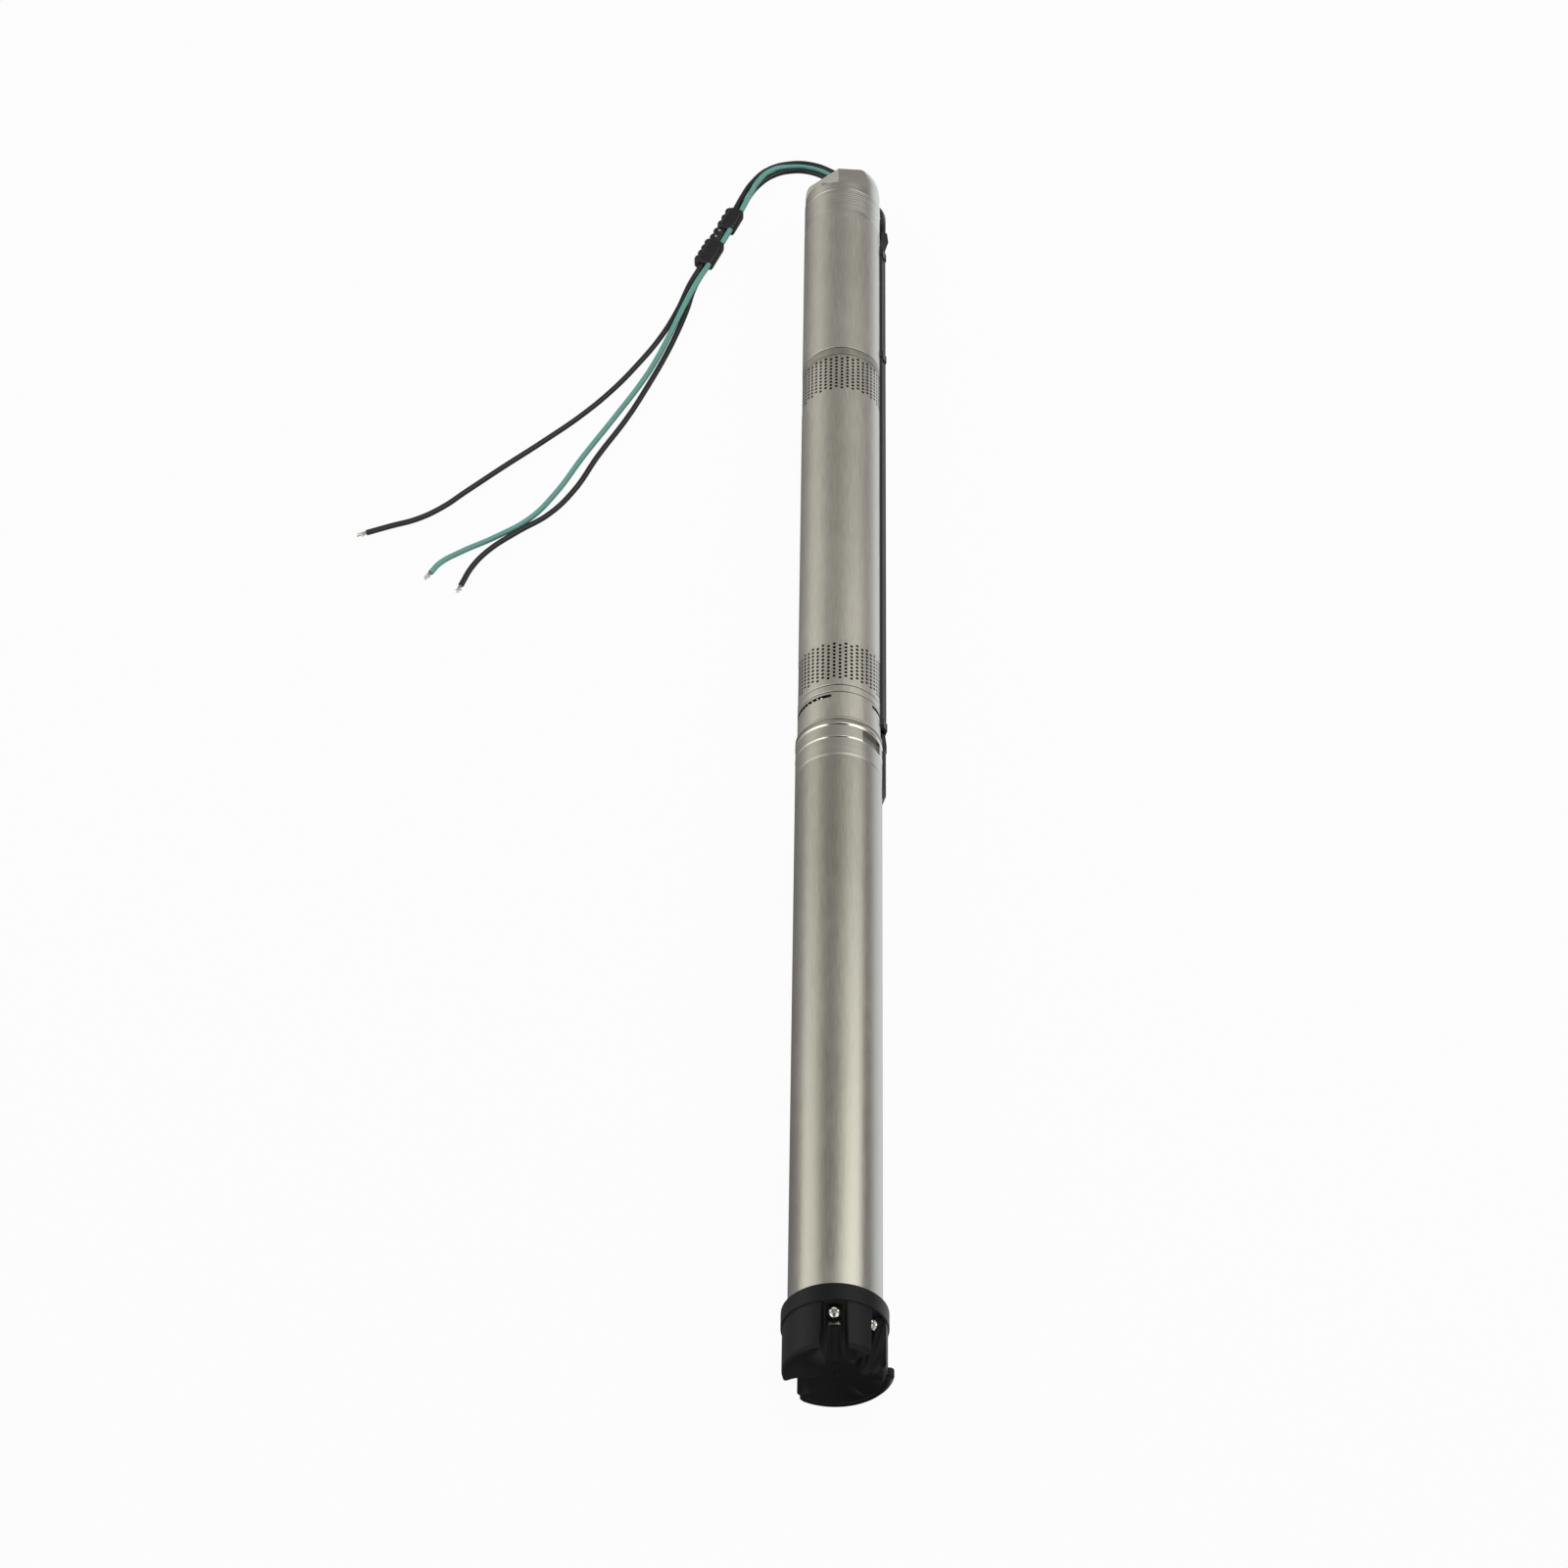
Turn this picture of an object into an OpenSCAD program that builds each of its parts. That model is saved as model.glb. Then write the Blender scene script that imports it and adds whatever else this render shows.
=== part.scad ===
// Solar submersible pump lying on its side: motor end at -Y, outlet at +Y, leads on the floor.
// A helical rotor pump over a canned motor, with a cable guard, three leads and a cable clip.

/* [Motor] */
// Outer diameter of the motor tube
motor_d = 66; // [64:0.5:70]
// Wall of the motor tube
motor_wall = 1.2; // [0.8:0.1:2]
// Length of the motor tube between the cap's collar and the motor head
motor_len = 483; // [450:1:700]
// Length of the motor head between the motor tube and the pump sleeve
motor_head_len = 36.5; // [34:0.5:50]
// Diameter of the motor shaft in its bearings
shaft_d = 15.9; // [14:0.1:17]
// Diameter of the shaft's upper end, in the seal and the coupling
shaft_end_d = 11.9; // [10:0.1:13]
// Length of the motor's stator core
core_len = 180; // [120:1:200]
// Air gap between the magnets and the stator core
air_gap = 0.6; // [0.5:0.1:1]
// Outer diameter of the magnet rotor
magnet_d = 32.8; // [28:0.1:36]
// Length of the sealed electronics can
can_len = 92; // [70:1:95]

/* [End cap] */
// Length of the end cap, from its end face to the collar's upper edge
cap_len = 51; // [48:0.5:60]
// Diameter of the collar
collar_d = 75; // [74:0.5:80]
// Height of the collar
collar_h = 14; // [10:0.5:16]
// Diameter over the lobes
lobe_d = 72.8; // [70:0.1:73.5]
// Width of the grooves between the lobes
groove_w = 19.8; // [16:0.1:21]
// Radius of the groove's floor at the end face
groove_floor_low = 17.5; // [15:0.5:22]
// Radius of the groove's floor at the screws
groove_floor_high = 28.5; // [27.5:0.1:29.5]
// Reach of the foot round the cap's lower side, from the pump's axis
foot_reach = 41; // [40:0.1:42]
// Height of the pump's axis above the flat under the foot
foot_flat = 39.5; // [38.5:0.1:40]
// Height of the foot along the pump
foot_h = 9; // [6:0.5:12]
// Diameter of a cap screw's head
screw_head_d = 9.4; // [8:0.1:10]
// Height of a cap screw's head
screw_head_h = 2.8; // [2:0.1:3.5]
// Diameter of a cap screw's shank
screw_d = 5; // [4:0.5:6]
// Length of a cap screw's shank
screw_len = 9; // [6:0.5:10]

/* [Pump sleeve] */
// Outer diameter of the pump sleeve
sleeve_d = 63.5; // [62:0.1:65]
// Wall of the pump sleeve
sleeve_wall = 1; // [0.8:0.1:1.5]
// Length of the pump sleeve
sleeve_len = 568; // [560:1:700]
// Number of hole columns around a strainer band
hole_cols = 44; // [36:4:48]
// Holes in a column
hole_rows = 10; // [6:1:10]
// Diameter of a strainer hole
hole_d = 2.4; // [1.8:0.1:2.6]
// Pitch of the holes along the pump
hole_pitch = 3.7; // [3.4:0.1:4]
// First hole of the lower band, from the sleeve's lower edge
band_low = 43; // [40:0.5:48]
// First hole of the upper band, from the sleeve's lower edge
band_high = 358.5; // [340:0.5:370]
// Width of the two slots round the sleeve
slot_w = 3; // [2:0.1:4]
// Height of the slots above the sleeve's lower edge
slot_rise = 24.5; // [23:0.5:27]
// Angle that each slot runs round the sleeve
slot_turn = 112; // [80:1:130]
// Outer diameter of the flared lip
lip_d = 66.4; // [65:0.1:67]

/* [Outlet head] */
// Length of the outlet head above the sleeve
outlet_len = 61.5; // [60:0.5:75]
// Minor diameter of the pipe thread in the outlet
thread_d = 38.95; // [35:0.05:40]
// Length of the pipe thread
thread_len = 22; // [18:0.5:24]
// Distance of the spanner flats from the axis
flat_reach = 26.5; // [25.5:0.1:27]
// Distance of the side recesses from the axis
recess_reach = 24; // [23:0.1:25]
// Bore through the valve seat
seat_bore_d = 26; // [20:0.5:28]
// Diameter of the valve's disc
valve_d = 34; // [32:0.5:38]
// Diameter of the valve's stem
stem_d = 6; // [5:0.1:8]
// Lift of the valve
valve_lift = 6; // [4:0.5:8]
// Wire of the valve spring
spring_wire = 1.2; // [0.8:0.1:1.5]
// Coil diameter of the valve spring, centre to centre
spring_d = 14; // [12:0.5:16]
// Turns of the valve spring
spring_turns = 6; // [4:1:8]

/* [Pumping section] */
// Eccentricity of the helical rotor
ecc = 3; // [2:0.1:3.5]
// Diameter of the rotor's round section
rotor_d = 17; // [14:0.5:18]
// Pitch of the rotor
rotor_pitch = 50; // [40:1:60]
// Clearance between rotor and cavity
rotor_gap = 0.5; // [0.4:0.05:0.8]
// Length of the rubber stator
liner_len = 248; // [200:1:260]
// Outer diameter of the stator tube
stator_d = 53; // [50:0.5:56]
// Wall of the stator tube
stator_wall = 1.2; // [1:0.1:2]
// Diameter of the torsion rod
rod_d = 6; // [5:0.1:7]
// Distance between the torsion rod's two joints
rod_span = 123; // [100:1:130]

/* [Cable] */
// Angle of the cable guard round the pump, from its top
guard_turn = 104; // [95:1:120]
// Thickness of the flat motor cable
cable_t = 3; // [2.8:0.1:3.4]
// Width of the flat motor cable
cable_w = 10; // [8:0.1:11]
// Sheet of the cable guard
guard_sheet = 0.6; // [0.4:0.1:0.8]
// Inner width of the cable guard
guard_w = 12; // [11.5:0.1:14]
// Diameter of the single leads
lead_d = 4.6; // [3.8:0.1:4.8]
// Width of the cable clip
clip_w = 20; // [18:0.5:24]
// Height of the cable clip
clip_h = 12; // [10:0.5:14]

/* [Hidden] */

// one overrun for every cut
cut = 1;
// gap of a piece that slides into another
slip = 0.1;
// radial clearance of a bearing
run = 0.05;
// facets of large and small round faces
big = 96;
mid = 48;
small = 32;

// radii
motor_r = motor_d / 2;
tube_r = motor_r - motor_wall;
sleeve_r = sleeve_d / 2;
bore_r = sleeve_r - sleeve_wall;
collar_r = collar_d / 2;
lobe_r = lobe_d / 2;
shaft_r = shaft_d / 2;
end_r = shaft_end_d / 2;
stator_r = stator_d / 2;
liner_r = stator_r - stator_wall;
rotor_r = rotor_d / 2;
rod_r = rod_d / 2;
lead_r = lead_d / 2;

// stations along the pump, from the cap's end face
cap_socket = 10;
tube_low = cap_len - cap_socket;
tube_top = cap_len + motor_len;
sleeve_low = tube_top + motor_head_len;
sleeve_top = sleeve_low + sleeve_len;
total_len = sleeve_top + outlet_len;

// the foot runs round the cap from beside the cable to under the opposite side
foot_turns = [95, 212];
// the pump lies on the flat of its foot, which moves the middle of the outline off the axis
axis_x = (collar_r - foot_reach * sin(foot_turns[0])) / 2;
axis_z = foot_flat;

// Pump coordinates have Z along the pump, X up from the axis and Y to the right.
module lay() translate([axis_x, -total_len / 2, axis_z]) rotate([0, -90, -90]) children();

module pipe(r_out, r_in, low, top, n = big) difference() {
    translate([0, 0, low]) cylinder(r = r_out, h = top - low, $fn = n);
    if (r_in > 0) translate([0, 0, low - cut]) cylinder(r = r_in, h = top - low + 2 * cut, $fn = n);
}

// a ring of any section: points are [radius, station]
module turned(points, n = big) rotate_extrude($fn = n) polygon(points);

// End cap
// The cap's own screws stand in the tops of the grooves; one lobe is twice as wide.
groove_turns = [-2, 58, 118, 240];
lobe_top = cap_len - collar_h;
edge = 2;
lobe_edge = 3;
spigot_len = 17;
spigot_low = tube_low - spigot_len;
spigot_r = 26;
seat_rim = 0.6;
// clear of the groove's rounded sides
seat_high = groove_floor_high + groove_w / 2 - sqrt(pow(groove_w / 2, 2) - pow(screw_head_d / 2, 2)) + slip;
screw_s = lobe_top - screw_head_d / 2 - seat_rim - slip;
groove_lean = atan((groove_floor_high - groove_floor_low) / lobe_top);
groove_steps = 12;

function groove_outline() = concat(
    [for (i = [0 : groove_steps]) let (a = 90 + 180 * i / groove_steps)
        groove_w / 2 * [1 + cos(a), sin(a)]],
    [[collar_r, -groove_w / 2], [collar_r, groove_w / 2]]);

module groove_cut(turn) rotate([0, 0, turn]) difference() {
    translate([groove_floor_low, 0, 0]) rotate([0, groove_lean, 0])
        translate([0, 0, -collar_h]) linear_extrude(cap_len + collar_h) polygon(groove_outline());
    translate([0, 0, lobe_top]) cylinder(r = 2 * collar_r, h = cap_len, $fn = mid);
}

// a ring sector with round ends, flat where the pump stands on it
foot_in = lobe_r - lobe_edge;
foot_end = (foot_reach - foot_in) / 2;
module foot() difference() {
    union() {
        rotate([0, 0, foot_turns[0]]) rotate_extrude(angle = foot_turns[1] - foot_turns[0], $fn = big)
            polygon([[foot_in, edge], [foot_in, foot_h], [foot_reach - edge, foot_h],
                [foot_reach, foot_h - edge], [foot_reach, edge], [foot_reach - edge, 0], [foot_in + edge, 0]]);
        for (t = foot_turns) rotate([0, 0, t]) translate([foot_reach - foot_end, 0, edge])
            cylinder(r = foot_end - slip, h = foot_h - 2 * edge, $fn = small);
    }
    translate([-foot_flat - foot_reach, -foot_reach, -cut])
        cube([foot_reach, 2 * foot_reach, foot_h + 2 * cut]);
}

// the screw's seat stands up from the groove's floor
module screw_seat(turn) rotate([0, 0, turn]) translate([0, 0, screw_s]) rotate([0, 90, 0])
    cylinder(r = screw_head_d / 2 + seat_rim, h = seat_high, $fn = small);

module end_cap() color("#2a2b2e") lay() difference() {
    union() {
        difference() {
            turned([[0, 0], [lobe_r - lobe_edge, 0], [lobe_r - lobe_edge / 2, lobe_edge / 7],
                [lobe_r - lobe_edge / 7, lobe_edge / 2], [lobe_r, lobe_edge], [lobe_r, lobe_top], [0, lobe_top]]);
            for (t = groove_turns) groove_cut(t);
        }
        for (t = groove_turns) screw_seat(t);
        turned([[0, lobe_top], [collar_r - edge / 4, lobe_top], [collar_r, lobe_top + edge / 4],
            [collar_r, cap_len - edge / 2], [collar_r - edge / 2, cap_len], [0, cap_len]]);
        foot();
    }
    translate([0, 0, tube_low]) cylinder(r = motor_r + slip, h = cap_len, $fn = big);
    translate([0, 0, spigot_low]) cylinder(r = spigot_r + slip, h = cap_len, $fn = big);
    translate([0, 0, -cut]) cylinder(r = plug_r + slip, h = cap_len, $fn = mid);
    for (t = groove_turns) rotate([0, 0, t]) translate([0, 0, screw_s]) rotate([0, 90, 0])
        cylinder(r = screw_d / 2 + slip, h = collar_r, $fn = small);
}

plug_r = 4.5;
plug_cross = 1.2;
module filler_plug() color("#2e2f33") lay() difference() {
    cylinder(r = plug_r, h = spigot_low + edge, $fn = mid);
    for (a = [0, 90]) rotate([0, 0, a])
        cube([plug_cross * 4, plug_cross, plug_cross * 2], center = true);
}

socket_share = 0.45;
module cap_screw() difference() {
    union() {
        intersection() {
            cylinder(d = screw_head_d, h = screw_head_h, $fn = small);
            translate([0, 0, screw_head_h - dome_r]) sphere(r = dome_r, $fn = mid);
        }
        translate([0, 0, -screw_len]) cylinder(d = screw_d, h = screw_len + screw_head_h / 2, $fn = small);
    }
    translate([0, 0, screw_head_h * socket_share]) cylinder(d = screw_head_d * socket_share, h = screw_head_h, $fn = 6);
}
// the dome meets the head's rim a quarter of its height above the seat
dome_rise = screw_head_h * 3 / 4;
dome_r = (pow(screw_head_d / 2, 2) + pow(dome_rise, 2)) / (2 * dome_rise);
module cap_screws() color("silver") lay() for (t = groove_turns)
    rotate([0, 0, t]) translate([seat_high, 0, screw_s]) rotate([0, 90, 0]) cap_screw();

// Motor
plate_len = 19;
can_low = tube_low + plate_len;
can_top = can_low + can_len;
pocket_r = 15;
module motor_end_plate() color("gray") lay() difference() {
    union() {
        pipe(spigot_r, 0, spigot_low, can_low);
        pipe(tube_r - slip, 0, tube_low, can_low);
    }
    translate([0, 0, spigot_low - cut]) cylinder(r = pocket_r, h = spigot_len + cut, $fn = mid);
    for (t = groove_turns) rotate([0, 0, t]) translate([seat_high, 0, screw_s]) rotate([0, 90, 0])
        translate([0, 0, -screw_len - slip]) cylinder(d = screw_d, h = screw_len + spigot_r, $fn = small);
}

skin = 2;
module diaphragm() color("black") lay() turned([[0, spigot_low + edge], [pocket_r - slip, spigot_low + edge],
    [pocket_r - slip, tube_low - skin], [pocket_r - slip - skin, tube_low - skin],
    [pocket_r - slip - 2 * skin, spigot_low + edge + skin], [0, spigot_low + edge + skin]], mid);

module motor_tube() color("silver") lay() pipe(motor_r, tube_r, tube_low, tube_top);

can_wall = 1;
module electronics_can() color("gray") lay() difference() {
    pipe(tube_r - slip, 0, can_low, can_top);
    translate([0, 0, can_low + can_wall]) cylinder(r = tube_r - slip - can_wall, h = can_len - 2 * can_wall, $fn = big);
}

board_t = 1.6;
board_w = 46;
part_r = 8;
part_h = 14;
module control_board() color("darkgreen") lay() {
    translate([-board_t / 2, -board_w / 2, can_low + can_wall])
        cube([board_t, board_w, can_len - 2 * can_wall]);
    for (i = [1 : 3]) translate([board_t / 2, 0, can_low + can_len * i / 4]) rotate([0, 90, 0])
        cylinder(r = part_r, h = part_h, $fn = small);
}

thrust_r = 18;
thrust_len = 8;
disc_len = 5;
thrust_gap = 0.3;
shaft_low = can_top + thrust_len + thrust_gap;
module thrust_ring() color("dimgray") lay() pipe(thrust_r, thrust_r / 3, can_top, can_top + thrust_len, mid);
module thrust_disc() color("gray") lay() pipe(thrust_r, shaft_r, shaft_low, shaft_low + disc_len, mid);

housing_low = shaft_low + disc_len + 5 * cut;
housing_len = 20;
bearing_r = 13;
module lower_housing() color("gray") lay()
    pipe(tube_r - slip, bearing_r, housing_low, housing_low + housing_len);
module lower_bearing() color("dimgray") lay()
    pipe(bearing_r, shaft_r + run, housing_low, housing_low + housing_len, mid);

turns_len = 23;
core_low = housing_low + housing_len + turns_len;
core_top = core_low + core_len;
core_r = magnet_d / 2 + air_gap;
module stator_core() color("slategray") lay() pipe(tube_r - slip, core_r, core_low, core_top);

winding_in = core_r + 2 * skin;
winding_out = tube_r - skin;
module end_winding(low, top) turned([[winding_in, low + edge], [winding_in + edge, low],
    [winding_out - edge, low], [winding_out, low + edge], [winding_out, top - edge],
    [winding_out - edge, top], [winding_in + edge, top], [winding_in, top - edge]]);
module end_windings() color("peru") lay() {
    end_winding(core_low - turns_len + edge, core_low);
    end_winding(core_top, core_top + turns_len - edge);
}

module rotor_magnets() color("dimgray") lay() pipe(magnet_d / 2, shaft_r, core_low, core_top, mid);

neck_drop = 4;
shaft_step = sleeve_low - neck_drop;
shaft_top = sleeve_low + 29.5;
module motor_shaft() color("silver") lay() turned([[0, shaft_low], [shaft_r, shaft_low],
    [shaft_r, shaft_step], [end_r, shaft_step], [end_r, shaft_top - edge / 2],
    [end_r - edge / 2, shaft_top], [0, shaft_top]], mid);

// Motor head
head_spigot = 29;
head_seat = 17.5;
bead = 2;
bead_out = 0.4;
head_clear = 9;
seal_r = 16;
seal_len = 12;
bearing_len = 22;
// the milled pocket beside the top, and the plug's seat under the guard
notch_turn = 47.6;
notch_w = 17.6;
notch_low = 2.5;
notch_len = 22.5;
notch_floor = 2.8;
plug_w = 16;
plug_len = 28;
plug_floor = 3;
plug_top = 2.4;
plug_tail = 20;
module motor_head() color("silver") lay() difference() {
    turned([
        [head_clear, tube_top - head_spigot + bearing_len], [bearing_r, tube_top - head_spigot + bearing_len],
        [bearing_r, tube_top - head_spigot], [tube_r - slip, tube_top - head_spigot],
        [tube_r - slip, tube_top], [motor_r - bead_out, tube_top], [motor_r, tube_top + bead],
        [motor_r, sleeve_low - 10 * bead], [motor_r - bead_out, sleeve_low - 9.8 * bead],
        [motor_r + bead_out, sleeve_low - 8.8 * bead], [motor_r + bead_out, sleeve_low - 8.6 * bead],
        [motor_r - bead_out, sleeve_low - 7.8 * bead], [motor_r, sleeve_low - 7.6 * bead],
        [motor_r, sleeve_low - 3.4 * bead], [motor_r - bead_out, sleeve_low - 3.2 * bead],
        [motor_r + bead_out, sleeve_low - 2 * bead], [motor_r + bead_out, sleeve_low - 1.6 * bead],
        [motor_r - 2 * bead_out, sleeve_low], [bore_r - slip, sleeve_low], [bore_r - slip, sleeve_low + head_seat],
        [seal_r, sleeve_low + head_seat], [seal_r, shaft_step + bead], [head_clear, shaft_step + bead]]);
    rotate([0, 0, notch_turn]) translate([motor_r - notch_floor, -notch_w / 2, tube_top + notch_low])
        cube([motor_r, notch_w, notch_len]);
    rotate([0, 0, guard_turn]) translate([motor_r - plug_floor, -plug_w / 2, sleeve_low - plug_len - bead])
        cube([motor_r, plug_w, plug_len + slip]);
}
module upper_bearing() color("dimgray") lay() pipe(bearing_r, shaft_r + run,
    tube_top - head_spigot, tube_top - head_spigot + bearing_len, mid);
module shaft_seal() color("black") lay()
    pipe(seal_r, end_r + run, shaft_step + bead, shaft_step + bead + seal_len, mid);

coupling_low = sleeve_low + 14.5;
coupling_len = 35;
coupling_r = 9;
shield_r = 14;
shield_t = 3;
pivot_gap = 0.5;
// the joints of the torsion rod: on the pump's axis below, on the rotor's axis above
pivot_low = coupling_low + coupling_len - 8;
pivot_top = pivot_low + rod_span;
rod_tail = 9;
module sand_shield() color("black") lay() pipe(shield_r, end_r, coupling_low - shield_t, coupling_low, mid);
module shaft_coupling() color("gray") lay() difference() {
    pipe(coupling_r, 0, coupling_low, coupling_low + coupling_len, mid);
    translate([0, 0, coupling_low - cut]) cylinder(r = end_r, h = shaft_top - coupling_low + cut, $fn = mid);
    translate([0, 0, pivot_low - rod_tail - pivot_gap])
        cylinder(r = rod_r + pivot_gap, h = coupling_len, $fn = mid);
}

rod_lean = atan(ecc / rod_span);
module torsion_rod() color("silver") lay() translate([0, 0, pivot_low]) rotate([0, rod_lean, 0]) {
    rod_l = rod_span / cos(rod_lean);
    translate([0, 0, -rod_tail + pivot_gap]) cylinder(r = rod_r, h = rod_l + 2 * (rod_tail - pivot_gap), $fn = mid);
    for (z = [0, rod_l]) translate([0, 0, z]) sphere(r = rod_r + pivot_gap - run, $fn = mid);
}

// Pumping section
rotor_head_len = 22;
rotor_head_r = 7;
rotor_low = pivot_top + rod_tail + 4 * pivot_gap;
liner_low = rotor_low + 8;
rotor_len = liner_len + 14;
rotor_sides = 16;
rotor_slices = round(rotor_len / rotor_pitch * 15);
liner_slices = round(liner_len / rotor_pitch * 10);
tube_low_end = liner_low - 4;
stator_top = sleeve_top - 41.5;
module helical_rotor() color("silver") lay() translate([ecc, 0, 0]) {
    difference() {
        translate([0, 0, rotor_low - rotor_head_len])
            cylinder(r = rotor_head_r, h = rotor_head_len, $fn = mid);
        translate([0, 0, rotor_low - rotor_head_len - cut])
            cylinder(r = rod_r + pivot_gap, h = rotor_head_len - edge + cut, $fn = mid);
    }
    translate([0, 0, rotor_low]) linear_extrude(rotor_len, twist = -360 * rotor_len / rotor_pitch, slices = rotor_slices)
        translate([ecc, 0]) circle(r = rotor_r, $fn = rotor_sides);
}

// the cavity turns half as fast as the rotor, and is in step with it at the liner's lower end
cavity_turn = 180 * (liner_low - rotor_low) / rotor_pitch;
module stator_liner() color("#202020") lay() difference() {
    pipe(liner_r, 0, liner_low, liner_low + liner_len);
    translate([0, 0, liner_low]) rotate([0, 0, cavity_turn])
        linear_extrude(liner_len + cut, twist = -180 * (liner_len + cut) / rotor_pitch, slices = liner_slices)
            hull() for (s = [-1, 1]) translate([s * 2 * ecc, 0]) circle(r = rotor_r + rotor_gap, $fn = rotor_sides);
    translate([0, 0, liner_low - cut]) rotate([0, 0, cavity_turn]) linear_extrude(2 * cut)
        hull() for (s = [-1, 1]) translate([s * 2 * ecc, 0]) circle(r = rotor_r + rotor_gap, $fn = rotor_sides);
}
module stator_tube() color("silver") lay() pipe(stator_r, liner_r, tube_low_end, stator_top);

ring_len = 12;
water_holes = 8;
module support_ring() color("gray") lay() difference() {
    pipe(bore_r - slip, stator_r, tube_low_end, tube_low_end + ring_len);
    for (i = [0 : water_holes - 1]) rotate([0, 0, i * 360 / water_holes])
        translate([(bore_r + stator_r) / 2, 0, tube_low_end - cut])
            cylinder(d = (bore_r - stator_r) / 2, h = ring_len + 2 * cut, $fn = small);
}

// Pump sleeve
lip_len = 3.5;
roll_w = 1.6;
roll_deep = 0.35;
// rolled rings, from the sleeve's lower edge
rolls = [28.9, 35.9, band_high + 39.3, band_high + 46.8];
slot_turns = [-14 - slot_turn, 54];
flat_in = 0.15;
hole_run = (hole_rows - 1) * hole_pitch + hole_pitch / 2;
band_edge = 3.6;
function flat_round(reach) = [for (c = [0 : hole_cols - 1]) let (a = 360 * (c + 0.5) / hole_cols)
    reach / cos(180 / hole_cols) * [cos(a), sin(a)]];

module band_flats(low) translate([0, 0, sleeve_low + low - band_edge]) {
    difference() {
        cylinder(r = sleeve_r + cut, h = hole_run + 2 * band_edge, $fn = big);
        translate([0, 0, -cut]) linear_extrude(hole_run + 2 * band_edge + 2 * cut)
            polygon(flat_round(sleeve_r / cos(180 / hole_cols) - 2 * flat_in));
    }
    linear_extrude(hole_run + 2 * band_edge) polygon(flat_round(bore_r + flat_in / 2));
}
module band_holes(low) for (c = [0 : hole_cols - 1]) for (i = [0 : hole_rows - 1])
    rotate([0, 0, c * 360 / hole_cols])
        translate([bore_r - cut, 0, sleeve_low + low + (i + (c % 2) / 2) * hole_pitch])
            rotate([0, 90, 0]) cylinder(d = hole_d, h = sleeve_wall + 2 * cut, $fn = small / 2);
module long_slot(turn) translate([0, 0, sleeve_low + slot_rise]) {
    rotate([0, 0, turn]) rotate_extrude(angle = slot_turn, $fn = big)
        translate([bore_r - cut, -slot_w / 2]) square([sleeve_wall + 2 * cut, slot_w]);
    for (a = [turn, turn + slot_turn]) rotate([0, 0, a]) translate([bore_r - cut, 0, 0])
        rotate([0, 90, 0]) cylinder(d = slot_w, h = sleeve_wall + 2 * cut, $fn = small);
}

// the sleeve's wall as turned, with its lip and rolled rings
function rolled(z) = [[sleeve_r, z - roll_w / 2], [sleeve_r - roll_deep, z - roll_w / 4],
    [sleeve_r - roll_deep, z + roll_w / 4], [sleeve_r, z + roll_w / 2]];
module sleeve_wall_ring() turned(concat(
    [[bore_r, sleeve_low], [lip_d / 2, sleeve_low], [lip_d / 2, sleeve_low + lip_len / 3],
        [sleeve_r, sleeve_low + lip_len]],
    [for (z = rolls) for (p = rolled(sleeve_low + z)) p],
    [[sleeve_r, sleeve_top], [bore_r, sleeve_top]]));

module sleeve_blank() difference() {
    sleeve_wall_ring();
    for (b = [band_low, band_high]) band_flats(b);
}
module slotted_sleeve() difference() {
    sleeve_blank();
    for (t = slot_turns) long_slot(t);
}

module pump_sleeve() color("silver") lay() difference() {
    slotted_sleeve();
    for (b = [band_low, band_high]) band_holes(b);
}

// Outlet head
skirt = 53.5;
socket_len = 15;
seat_t = 3;
seat_r = 22;
seat_h = 6;
chamber_top = sleeve_top + 11.5;
passage_r = 17;
shoulder = 22;
shoulder_step = 1.2;
crown_r = 28.4;
crown_edge = 3;
flat_turn = 3;
recess_turn = -75;
recess_len = 32;
flat_len = 22;
module discharge_head() color("silver") lay() difference() {
    turned([
        [passage_r, chamber_top], [seat_r, chamber_top], [seat_r, stator_top + seat_t],
        [stator_r + slip, stator_top + seat_t], [stator_r + slip, stator_top + seat_t - socket_len],
        [bore_r - slip, stator_top + seat_t - socket_len], [bore_r - slip, sleeve_top],
        [sleeve_r - slip, sleeve_top], [sleeve_r - slip, sleeve_top + shoulder],
        [sleeve_r - shoulder_step, sleeve_top + shoulder + shoulder_step],
        [sleeve_r - shoulder_step, sleeve_top + shoulder + 4 * shoulder_step],
        [sleeve_r - 1.4 * shoulder_step, sleeve_top + shoulder + 4 * shoulder_step],
        [crown_r + shoulder_step / 2, total_len - flat_len], [crown_r, total_len - flat_len],
        [crown_r - shoulder_step / 2, total_len - crown_edge], [crown_r - crown_edge, total_len],
        [thread_d / 2 + shoulder_step, total_len], [thread_d / 2, total_len - shoulder_step],
        [thread_d / 2, total_len - shoulder_step - thread_len], [passage_r, total_len - 2 * shoulder_step - thread_len]]);
    for (a = [flat_turn, flat_turn + 180]) rotate([0, 0, a])
        translate([flat_reach, -sleeve_r, total_len - flat_len]) cube([sleeve_r, sleeve_d, flat_len + cut]);
    for (a = [recess_turn, recess_turn + 180]) rotate([0, 0, a])
        translate([recess_reach, -sleeve_r, total_len - recess_len]) cube([sleeve_r, sleeve_d, recess_len + cut]);
    pipe(sleeve_r, bore_r - ring_in, sleeve_top - ring_drop, sleeve_top - ring_drop + ring_w);
}

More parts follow.
